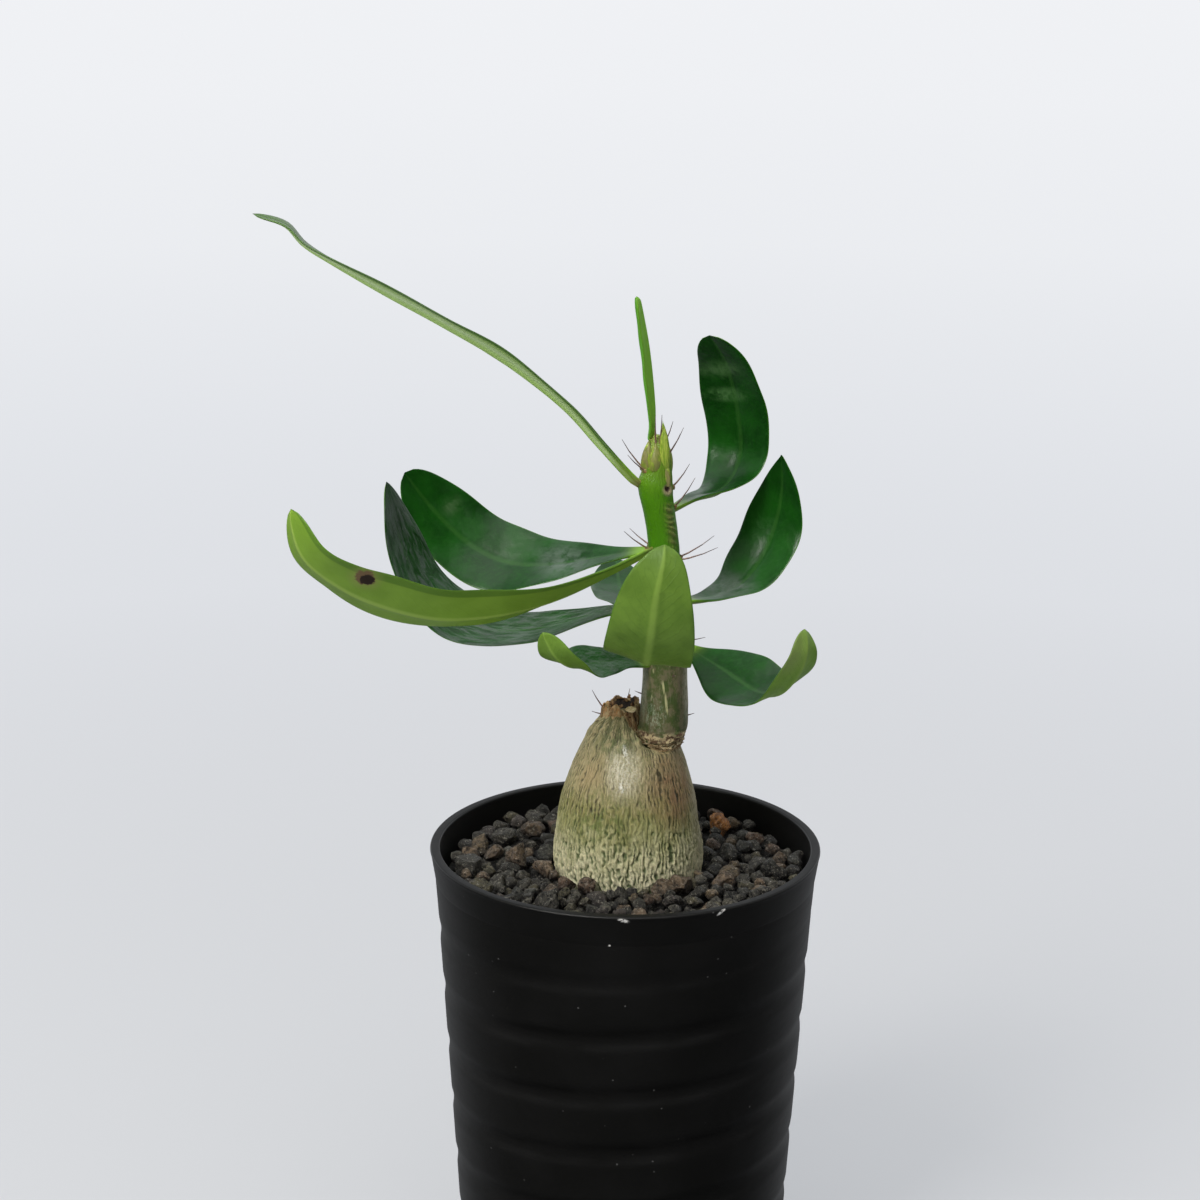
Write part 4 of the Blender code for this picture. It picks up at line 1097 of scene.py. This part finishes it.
def makeStump():
    draw = random.Random(stump["seed"])
    x, y = stump["place"]
    foot, top, hollow = stump["foot"], stump["top"], stump["hollow"]
    profile = [(0, foot)]
    for i in range(stump["rows"] + 1):
        part = i / stump["rows"]
        reach = stump["radius"] * (1.75 - 1.25 * part + 0.57 * part ** 2 - 0.10 * part ** 8)
        profile.append((reach, foot + (top - foot) * part))
    profile += [(hollow + 1.0, top + 0.25), (hollow + 0.3, top - 0.3), (hollow, top - 1.6),
                (hollow * 0.6, top - 2.6), (0, top - 2.8)]
    body = turned("stumpBody", profile, 128)
    places, angle, away, height = pointsRound(body)
    high = smoothstep(foot + 3, top - 1, height)
    fibre = grain(places, (0.75, 0.75, 4.0), 9.0)
    crumbs = grain(places, (0.8, 0.8, 0.8), 2.0)
    rim = 0.8 * np.sin(3 * angle + 1.0) + 0.6 * np.sin(5 * angle) + 1.6 * grain(places, (1.4, 1.4, 9), 3.0)
    inwards = np.minimum(away / (1.5 * mm), 1) * mm
    setRound(body, away + (0.45 * fibre + (0.15 + 0.45 * high) * crumbs) * inwards, angle,
             places[:, 2] + high * (rim * 0.45 + 0.5 * crumbs - stumpWorn(angle)) * inwards, x * mm, y * mm)
    left = smoothstep(-0.2, 0.8, -np.cos(angle - 0.5))
    inside = 1 - smoothstep(hollow + 0.2, hollow + 1.1, away / mm)
    # the hollow inside the cut is painted darker, as painted shade
    mark(body, tone=0.5 + 0.3 * high * left - 0.75 * inside * high + 0.3 * fibre, rust=high * left,
         green=1 - smoothstep(foot + 3.0, foot + 5.5, height + 2.5 * fibre - 1.5 * left))

    paint = Paint("stumpCork")
    patch = paint.lumps((0.5, 0.5, 1.1), 4.0, 0.75)
    mossy = paint.blend((0.075, 0.11, 0.03), (0.52, 0.45, 0.26), patch.step(0.44, 0.58))
    colour = paint.layered(paint.ramp(0.5 * patch + 0.55 * paint.attribute("tone"), stump["cork"]),
                           ((0.44, 0.195, 0.062), paint.attribute("rust") * patch.step(0.42, 0.60) * 0.8),
                           (mossy, paint.attribute("green")))
    paint.surface(Base_Color=colour, Roughness=0.82)
    paint.relief((patch, 0.4), (paint.lumps(0.25), 0.12))
    finishPiece(body, "trunk", 60, paint)

    # fibres run down its side, flakes stand round the cut, and one pale chip shows bared wood
    bits = []
    for _ in range(stump["fibres"]):
        around = draw.uniform(math.radians(stump["fibreFrom"]), math.radians(stump["fibreTo"]))
        out = outward(around)
        down = draw.uniform(0.5, 5.5)
        reach = stump["radius"] * (1.0 + 0.035 * down + 0.012 * down ** 2)
        place = Vector((x, y, top - down - 0.7 * float(stumpWorn(around)))) + out * reach
        ahead = out * 0.25 - upright + out.cross(upright) * draw.uniform(-0.25, 0.25)
        bits.append(flake(draw, place, ahead, out, (draw.uniform(1.6, 3.6), draw.uniform(0.16, 0.34), 0.12),
                          draw.uniform(0.35, 0.95)))
    for _ in range(stump["flakes"]):
        around = draw.uniform(0, fullTurn)
        out = outward(around)
        reach = draw.uniform(hollow, stump["radius"] * 0.95)
        place = Vector((x, y, top + draw.uniform(-0.5, 0.3) - float(stumpWorn(around)))) + out * reach
        ahead = out.cross(upright) + upright * draw.uniform(-0.8, 0.8)
        bits.append(flake(draw, place, ahead, out + upright * 0.5,
                          (draw.uniform(0.9, 2.0), draw.uniform(0.22, 0.5), 0.13), draw.uniform(0.2, 0.9)))
    finishPiece(joined("stumpFlakes", bits), "trunk", 60, corkPaint("stumpFlakes", stump["flakeCork"]))
    chip = stoneChip(draw, Vector((x + 2.3, y - 3.3, top - 0.8)), (1.4, 0.6, 0.8), 3)
    chip.name = "stumpChip"
    wood = Paint("baredWood")
    grainy = wood.lumps((1.2, 0.4, 0.4)).step(0.35, 0.65)
    wood.surface(Base_Color=wood.blend((0.50, 0.38, 0.16), (0.74, 0.64, 0.38), grainy), Roughness=0.8)
    finishPiece(chip, "trunk", 50, wood)


def makeCollar():
    draw = random.Random(collar["seed"])
    bits = []
    for _ in range(collar["flakes"]):
        part = draw.random()
        out = outward(math.radians(collar["from"] + (collar["to"] - collar["from"]) * part))
        high = collar["height"] + collar["rise"] * (1 - smoothstep(0.0, 0.6, part)) + draw.uniform(-0.7, 0.7)
        reach = collar["radius"] + draw.uniform(-0.2, 0.45) + 0.25 * (high - collar["height"])
        ahead = out.cross(upright) + upright * draw.uniform(-0.45, 0.45)
        size = (draw.uniform(1.2, 3.2), draw.uniform(0.12, 0.32), draw.uniform(0.08, 0.14))
        bits.append(flake(draw, Vector((*collar["place"], high)) + out * reach, ahead, out + upright * 0.3,
                          size, draw.uniform(0.15, 1.0)))
    finishPiece(joined("collarFlakes", bits), "trunk", 60, corkPaint("collarBark", collar["cork"]))


# Leaves. height and azimuth say where a leaf leaves the shoot, path is its midrib in offsets from that
# root, and sides are the directions of its right-hand margin, from root to tip

leafShape = {  # a leaf has these unless its own row says otherwise
    "steps": 84, "across": 44, "petiole": 1.2, "petioleShare": 0.18, "petioleDepth": 1.8, "edge": 0.42,
    "middle": 1.15, "bladeStart": 0.30, "tipHalf": 0.12, "tipRound": 0.03, "wave": 0.04, "waveTurns": 23,
    "sunk": 1.6, "widest": 0.6, "tip": 0.62, "fold": 0.12, "keel": 0.0, "pale": 0.0,
    "shade": 0.0, "crinkle": 0.0,
}
leaves = {
    "leaf_left_high": dict(
        height=197.2, azimuth=188, petiole=1.5, pale=1.0, width=15, fold=0.08,
        path=((-7.8, -1, 8.4), (-16, -3, 17.4), (-29, -5, 27.8), (-42, -7, 35.9), (-55, -9, 43.4),
              (-66, -10, 50), (-72, -10, 53.8), (-76, -10, 58), (-83, -10, 60.2)),
        sides=((-0.2, 0.95, -0.22), (-0.2, 0.95, -0.28), (-0.2, 0.95, -0.31), (-0.2, 0.95, -0.30),
               (-0.18, 0.95, -0.25), (-0.1, 0.95, -0.19), (0.05, 0.9, 0.10))),
    "leaf_young": dict(
        height=205.6, azimuth=165, pale=0.8, width=4.4, tip=0.34, fold=0.5,
        path=((0.4, -0.6, 4.2), (0, -1.4, 12.3), (-0.9, -2.4, 21.5), (-2.2, -3.4, 29.5), (-2.9, -3.4, 33)),
        sides=((0.1, -0.98, 0.1), (0.1, -0.98, 0.1))),
    "leaf_right_high": dict(
        height=189.8, azimuth=40, width=18, tip=0.52,
        path=((5, 6, 1), (10.5, 12.5, 0.8), (14, 18, 2.8), (15.8, 21.5, 7.5), (15.5, 22, 14),
              (14, 20.5, 22), (11.8, 17.5, 29.5), (8, 13, 36.5)),
        sides=((0.75, -0.65, 0.1), (0.78, -0.6, 0.12), (0.8, -0.6, 0), (0.85, -0.5, 0.1))),
    "leaf_right_middle": dict(
        height=168.5, azimuth=24, width=16.5, widest=0.54, tip=1.05,
        path=((7, 5, -0.5), (13.5, 10, 1), (18.5, 14.5, 6.5), (21.4, 16.5, 13.5), (22.6, 16, 21),
              (22.2, 13, 30.5)),
        sides=((0.6, -0.8, 0), (0.7, -0.7, -0.1), (0.78, -0.6, -0.1), (0.8, -0.55, 0))),
    "leaf_right_low": dict(
        height=158.5, azimuth=-20, width=16.5, widest=0.42,
        path=((7.5, -8.5, -2.2), (14.5, -18.5, -4), (19, -24.5, -2.5), (22.5, -27.5, 2), (24.5, -28.5, 7.5),
              (24.5, -26.5, 12.5)),
        sides=((-0.7, -0.6, -0.3), (-0.7, -0.5, -0.45), (-0.7, -0.6, -0.2), (-0.7, -0.65, 0))),
    "leaf_front": dict(
        height=167.0, azimuth=-92, shade=0.24, width=19, widest=0.62, tip=0.56, fold=0.10,
        path=((-0.3, -12, 1), (-2.5, -28, 0.5), (-4.3, -40, 1.5), (-3.8, -48, 9), (-2.8, -50, 18.5),
              (-1.4, -49, 25.5), (-1, -47, 29)),
        sides=((-1, 0, 0), (-0.98, 0, 0.1), (-0.97, 0, 0.2), (-0.97, 0.1, 0.15))),
    "leaf_left_front": dict(
        height=181.0, azimuth=206, pale=0.55, width=18, widest=0.66, keel=0.25, fold=0.05, farFold=0.25,
        path=((-9.5, -3, -4.5), (-18.5, -7, -7.8), (-27, -10, -9.8), (-36, -13, -10.6), (-46.5, -16, -10),
              (-57.5, -18, -6.8), (-66.5, -20, -2.2), (-74, -21, 4.2), (-77.5, -20, 14)),
        sides=((-0.2, 0.8, -0.5), (-0.2, 0.62, -0.75), (-0.3, 0.62, -0.7), (-0.7, 0.63, -0.25))),
    "leaf_left_back": dict(
        height=180.0, azimuth=146, width=19.5, widest=0.62, tip=0.55,
        path=((-10, 5, -3), (-20, 10, -6.2), (-28.5, 14, -7.8), (-36, 17, -6.8), (-43, 19, -2.8),
              (-50, 19, 4.5), (-55.8, 17, 13)),
        sides=((0.3, 0.85, 0.3), (0.35, 0.75, 0.5), (0.45, 0.65, 0.6), (0.57, 0.5, 0.56))),
    "leaf_left_middle": dict(
        height=167.0, azimuth=178, crinkle=1.0, width=18.5, widest=0.58, tip=0.8,
        path=((-8, 1, -1), (-19, 2, -4.5), (-26, 2, -6), (-35, 2, -6), (-44, 2, -2.5), (-51, 2, 5.5),
              (-55, 1, 16.5), (-57.5, -1, 29)),
        sides=((0, 0.97, 0.2), (0, 0.97, 0.26), (0.3, 0.9, 0.3), (0.48, 0.86, 0.1))),
    "leaf_back": dict(
        height=162.9, azimuth=112, width=16,
        path=((-2, 8, -0.4), (-5, 19, -1.2), (-8, 31, -1), (-9, 40, 3)),
        sides=((0.95, 0.3, 0), (0.95, 0.25, 0))),
    "leaf_left_low": dict(
        height=155.2, azimuth=214, shade=0.12, crinkle=0.7, width=11, fold=0.10,
        path=((-5.7, -4, 1.8), (-10.6, -9, 3.0), (-15.8, -14.5, 4.0), (-19.6, -18, 7.2),
              (-22.6, -18.6, 12.6)),
        sides=((-0.6, 0.7, 0.3), (-0.5, 0.65, 0.5), (-0.5, 0.65, 0.45), (-0.7, 0.5, -0.1),
               (-0.8, 0.3, -0.4))),
}
# painted reflections: soft patches of sky that a leaf throws back, painted into its colour: place, reach,
# turn, colour, share
sheens = (
    ((19.6, 19.5, 217.0), (8.6, 12.0, 3.4), 0.15, (0.070, 0.165, 0.050), 1.0),
    ((21.4, 20.5, 210.6), (7.4, 12.0, 2.7), 0.1, (0.090, 0.215, 0.065), 1.0),
    ((-40.4, 18.5, 184.3), (3.8, 12.0, 3.2), 0.6, (0.080, 0.155, 0.060), 1.0),
    ((-18.0, 10.0, 175.2), (15.0, 12.0, 5.2), -0.1, (0.112, 0.155, 0.120), 0.95),
    ((23.6, 11.0, 168.3), (9.5, 12.0, 4.4), -0.1, (0.115, 0.150, 0.120), 0.8),
    ((-52.5, 1.5, 187.5), (5.5, 12.0, 15.0), -0.3, (0.085, 0.115, 0.090), 0.6),
)


def halfWidth(part, leaf, petiole):
    full = leaf["width"] / 2
    if part < leaf["widest"]:
        rise = math.sin(math.pi / 2 * part / leaf["widest"]) ** 1.7
        return petiole + (full - petiole) * rise
    beyond = (part - leaf["widest"]) / (1 - leaf["widest"])
    return max(full * (1 - beyond ** 2.2) ** leaf["tip"], leaf["tipHalf"])


def makeLeaf(node, leaf, paints):
    x, y, _, radius = shootAt(leaf["height"])
    out = outward(math.radians(leaf["azimuth"]))
    root = Vector((x, y, leaf["height"])) + out * (radius + 0.6)
    steps, keel, farFold = leaf["steps"], leaf["keel"], leaf.get("farFold", leaf["fold"])
    path = [root - out * leaf["sunk"], root] + [root + Vector(point) for point in leaf["path"]]
    middles = evenCurve(path, steps)
    margins = [Vector(side).normalized() for side in leaf["sides"]]
    petiole = min(leaf["petiole"], leaf["petioleShare"] * leaf["width"])
    stalk = leaf["petioleDepth"] * petiole
    frames = []
    for i, middle in enumerate(middles):
        ahead = (middles[min(i + 1, steps)] - middles[max(i - 1, 0)]).normalized()
        side = onCurve(margins, i / steps)
        side = (side - ahead * side.dot(ahead)).normalized()
        frames.append((middle, side, side.cross(ahead)))

    # the way round goes over the upper face from margin to margin and back under the lower one
    def placeOf(roundPart, along):
        i = min(int(along * steps + 0.5), steps)
        part = i / steps
        middle, side, up = frames[i]
        half = halfWidth(part, leaf, petiole)
        flat = float(smoothstep(0, leaf["bladeStart"], part))
        end = math.sqrt(max(0.0, 1 - max(0.0, part - 1 + leaf["tipRound"]) / leaf["tipRound"]))
        edge = (stalk * 0.3 * (1 - flat) + leaf["edge"] * flat) * end
        thick = (stalk * (1 - flat) + leaf["middle"] * (1 - 0.45 * part) * flat) * end
        angle = fullTurn * roundPart
        v = -math.cos(angle)
        lift = max((keel - v) * leaf["fold"], (v - keel) * farFold) * half * flat
        wave = leaf["wave"] * half * flat * v * v * math.sin(part * leaf["waveTurns"] + 2 * v)
        rib = math.exp(-((v - keel) * half / (1.3 * (1 - 0.6 * part))) ** 2) * flat * end
        rim = edge / 2 * min(1.0, abs(math.sin(angle)) * 2.4)
        here = middle + side * v * half + up * (lift + wave - edge / 2)
        if roundPart < 0.5:
            return (here + up * (rim - 0.30 * rib * (1 - 0.7 * part))) * mm
        deep = (thick - edge) * (1 - abs(v)) ** 1.2 * 0.55
        return (here - up * (rim + deep + 0.65 * rib * (1 - 0.75 * part))) * mm

    words = node.split("_")
    piece = sheet(words[0] + "".join(word.title() for word in words[1:]), leaf["across"], steps, placeOf)
    finishPiece(piece, "leaf", 70, *paints, node=node)
    uv = piece.data.uv_layers[0]
    for face in piece.data.polygons:
        middle = sum(uv.data[k].uv.x for k in face.loop_indices) / len(face.loop_indices)
        face.material_index = 0 if middle < 0.5 else 1
    mark(piece, **{name: leaf[name] for name in ("keel", "pale", "shade", "crinkle")})


# way is 0 on the midrib and 1 on the far margin, -1 on the near one
def leafWays(paint):
    uv = paint.node("ShaderNodeUVMap")
    way = 0 - (paint.axis("X", uv) * fullTurn).cosine() - paint.attribute("keel")
    return way, abs(way), paint.axis("Y", uv)


# one leaf is wholly pale and thin, the young one less so
def leafAges(paint):
    pale = paint.attribute("pale")
    thin = pale.step(0.9, 0.98)
    return pale, thin, pale.step(0.6, 0.75) * (1 - thin)


def veinLines(paint, across, along, cloud):
    phase = along * 30 - across * 3.4 + 1.4 * cloud + 0.5 * paint.lumps(2, 2.0)
    line = abs(phase.fraction() - 0.5)
    wide = 1 - paint.attribute("pale")
    return (1 - line.step(0.02, 0.09)) * across.step(0.05, 0.2) * (1 - across.step(0.55, 0.95)) * wide


def upperPaint():
    paint = Paint("leafUpper")
    way, across, along = leafWays(paint)
    pale, thin, young = leafAges(paint)
    crinkle = paint.attribute("crinkle")
    wave = paint.node("ShaderNodeCombineXYZ", {}, {0: way * 6.5, 1: along * 17, 2: 0.0})
    crease = paint.node("ShaderNodeTexNoise", {}, {
        "Vector": wave, "Scale": 1.0, "Detail": 4.0, "Roughness": 0.65, "Distortion": 0.6})
    cloud = paint.lumps(9)
    fine = paint.lumps(0.9, 4.0, 0.6)
    colour = paint.layered(
        (0.0010, 0.038, 0.0005), ((0.0045, 0.074, 0.0016), cloud.step(0.32, 0.68)),
        ((0.010, 0.088, 0.006), fine.step(0.45, 0.7) * 0.35),
        ((0.018, 0.105, 0.010), veinLines(paint, across, along, cloud) * 0.14),
        ((0.040, 0.140, 0.020), (1 - across.step(0.02, 0.10)) * 0.32),
        ((0.070, 0.190, 0.016), across.step(0.965, 1.0) * 0.7),
        ((0.115, 0.215, 0.024), ((1 - along.step(0.03, 0.15)) * 0.8).most(pale * 0.4)),
        ((0.20, 0.40, 0.015), (1 - along.step(0.04, 0.11)) * 0.8),
        ((0.125, 0.400, 0.020), young * 0.85),
        ((0.25, 0.15, 0.07), (1 - along.step(0.012, 0.035)) * 0.6))
    broken = paint.lumps((3.2, 3.2, 2.4), 3.0, 0.6).step(0.30, 0.56) * (0.65 + 0.35 * crease.step(0.40, 0.60))
    # the sheens are painted into the colour as reflections, broken into patches
    for place, reach, turn, light, share in sheens:
        colour = paint.blend(colour, light, paint.spot(place, reach, turn, 0.9) * broken * share)
    # a grey painted sheen on the crests of the crinkles and painted shade in their hollows
    colour = paint.blend(colour, (0.125, 0.148, 0.140), crinkle * crease.step(0.40, 0.64) * 0.56)
    colour = paint.darken(colour, 1 - 0.40 * crinkle * (1 - crease.step(0.32, 0.47)))
    paint.surface(Base_Color=colour, Roughness=0.28 + 0.18 * fine, Specular_IOR_Level=0.36)
    paint.relief((paint.lumps(5.0, 2.0), 0.30), (crease * crinkle, 0.32), (paint.lumps(1.8, 2.0), 0.055))
    return paint


def underPaint():
    paint = Paint("leafUnder")
    way, across, along = leafWays(paint)
    pale, thin, young = leafAges(paint)
    cloud = paint.lumps(7)
    fine = paint.lumps(0.8, 4.0, 0.6)
    vein = veinLines(paint, across, along, cloud)
    # the thin leaf's underside in bands from its near margin: a painted grey sheen, a dark line, then pale
    # lime that paints the light shining through it
    bands = paint.ramp(way + 1, (
        (0.0, (0.26, 0.33, 0.22)), (0.015, (0.20, 0.28, 0.14)), (0.035, (0.055, 0.16, 0.02)),
        (0.09, (0.09, 0.21, 0.035)), (0.22, (0.38, 0.58, 0.15)), (0.55, (0.66, 0.86, 0.42)),
        (0.85, (0.52, 0.78, 0.22))))
    colour = paint.layered(
        (0.118, 0.235, 0.020), ((0.172, 0.315, 0.034), cloud.step(0.3, 0.7)),
        ((0.085, 0.180, 0.012), fine.step(0.5, 0.75) * (1 - pale) * 0.35),
        ((0.080, 0.185, 0.014), vein * 0.18),
        ((0.25, 0.43, 0.035), pale * 0.75))
    # one scorched spot, with a pale ring round its dark middle
    wobble = 0.8 * (paint.lumps(1.3, 3.0, 0.65) - 0.5)
    halo = paint.spot((-57.2, -24.0, 180.5), (5.0, 9.0, 4.6), soft=0.7)
    scorch = paint.spot((-57.2, -24.0, 180.7), (3.7, 9.0, 3.7), 0.4, 1.0) + wobble
    core = paint.spot((-56.8, -24.0, 180.1), (2.9, 9.0, 2.4), 0.5, 1.0) + wobble
    olive = paint.spot((33.0, -31.0, 168.0), (8.0, 12.0, 8.0), soft=0.6)
    reddish = paint.spot((17.5, 2.5, 168.5), (7.0, 9.0, 3.0), soft=0.6)
    # leaves given a shade number are painted darker all over, as painted shade
    colour = paint.layered(
        paint.darken(colour, 1 - paint.attribute("shade")),
        # the midrib is paler, and on the pale leaves brighter still as a painted highlight
        ((0.34, 0.50, 0.090), (1 - across.step(0.03, 0.13)) * (0.3 + 0.7 * pale)),
        (bands, thin * 0.9),
        ((0.165, 0.440, 0.022), young * 0.8),
        ((0.24, 0.36, 0.040), (1 - along.step(0.04, 0.12)) * 0.7),
        ((0.27, 0.17, 0.08), (1 - along.step(0.012, 0.035)) * 0.6),
        ((0.06, 0.16, 0.012), across.step(0.95, 1.0) * 0.6),
        ((0.27, 0.31, 0.075), halo * 0.6),
        ((0.175, 0.112, 0.050), scorch.step(0.24, 0.44)),
        ((0.024, 0.014, 0.009), core.step(0.28, 0.46) * 0.93),
        ((0.175, 0.205, 0.080), olive * 0.55),
        ((0.17, 0.10, 0.045), reddish * (1 - across.step(0.15, 0.5)) * 0.7))
    paint.surface(Base_Color=colour, Roughness=0.44 + 0.12 * fine * (1 - pale), Specular_IOR_Level=0.32)
    thick = 1 - pale
    paint.relief((paint.lumps(4.0, 2.0) * thick, 0.25), (vein, 0.03), (paint.lumps(2.0, 2.0) * thick, 0.05))
    return paint


def makeLeaves():
    paints = (upperPaint(), underPaint())
    for node, leaf in leaves.items():
        makeLeaf(node, {**leafShape, **leaf}, paints)


# Young folded sheaths round the growing tip: azimuth, foot height, length, radius, lean, how papery

sheaths = ((-46, 199.8, 10.6, 1.5, 3, 0.0), (200, 198.6, 7.6, 1.7, 3, 1.0), (255, 199.4, 6.2, 1.75, 3, 0.8),
           (110, 199.8, 8.2, 1.5, 5, 0.2), (14, 198.4, 7.4, 1.35, 3, 0.5), (-38, 195.8, 6.0, 1.05, 1, 1.0))


def makeSheaths():
    made = []
    for azimuth, foot, length, radius, lean, papery in sheaths:
        x, y, _, stemRadius = shootAt(foot)
        out = outward(math.radians(azimuth))
        base = Vector((x, y, foot)) + out * (stemRadius - radius * 0.55)
        ahead = (upright + out * math.tan(math.radians(lean))).normalized()
        side = ahead.cross(out).normalized()
        front = side.cross(ahead)

        def placeOf(roundPart, along):
            thick = radius * (0.8 + 0.9 * along - 1.75 * along ** 2) if along < 0.97 else 0.03
            angle = fullTurn * roundPart
            keel = 1 + 0.35 * math.cos(angle) ** 6
            return (base + ahead * length * along - front * (0.12 * length * along ** 2)
                    + (side * math.sin(angle) + front * math.cos(angle) * 0.7 * keel) * max(thick, 0.03)) * mm

        piece = sheet("sheath", 24, 30, placeOf)
        mark(piece, papery=papery)
        made.append(piece)
    paint = Paint("budSheath")
    streak = paint.lumps((0.4, 0.4, 3), 4.0, 0.6)
    patch = paint.lumps((1.0, 1.0, 2.0), 4.0, 0.6)
    dry = paint.blend((0.085, 0.060, 0.024), (0.23, 0.22, 0.070), patch.step(0.38, 0.6))
    colour = paint.layered((0.17, 0.29, 0.012), ((0.37, 0.46, 0.06), streak.step(0.35, 0.65)),
                           (dry, paint.attribute("papery") * patch.step(0.36, 0.56)))
    paint.surface(Base_Color=colour, Roughness=0.42)
    paint.relief((streak, 0.14))
    finishPiece(joined("budSheaths", made), "shoot", 60, paint)


makeStudio()
print("studio done")
makePot()
print("pot done")
makeGrit()
print("grit done")
makeTrunk()
print("trunk done")
makeShoot()
makeSpines()
makeStump()
makeCollar()
makeSheaths()
print("shoot done")
makeLeaves()
print("leaves done")
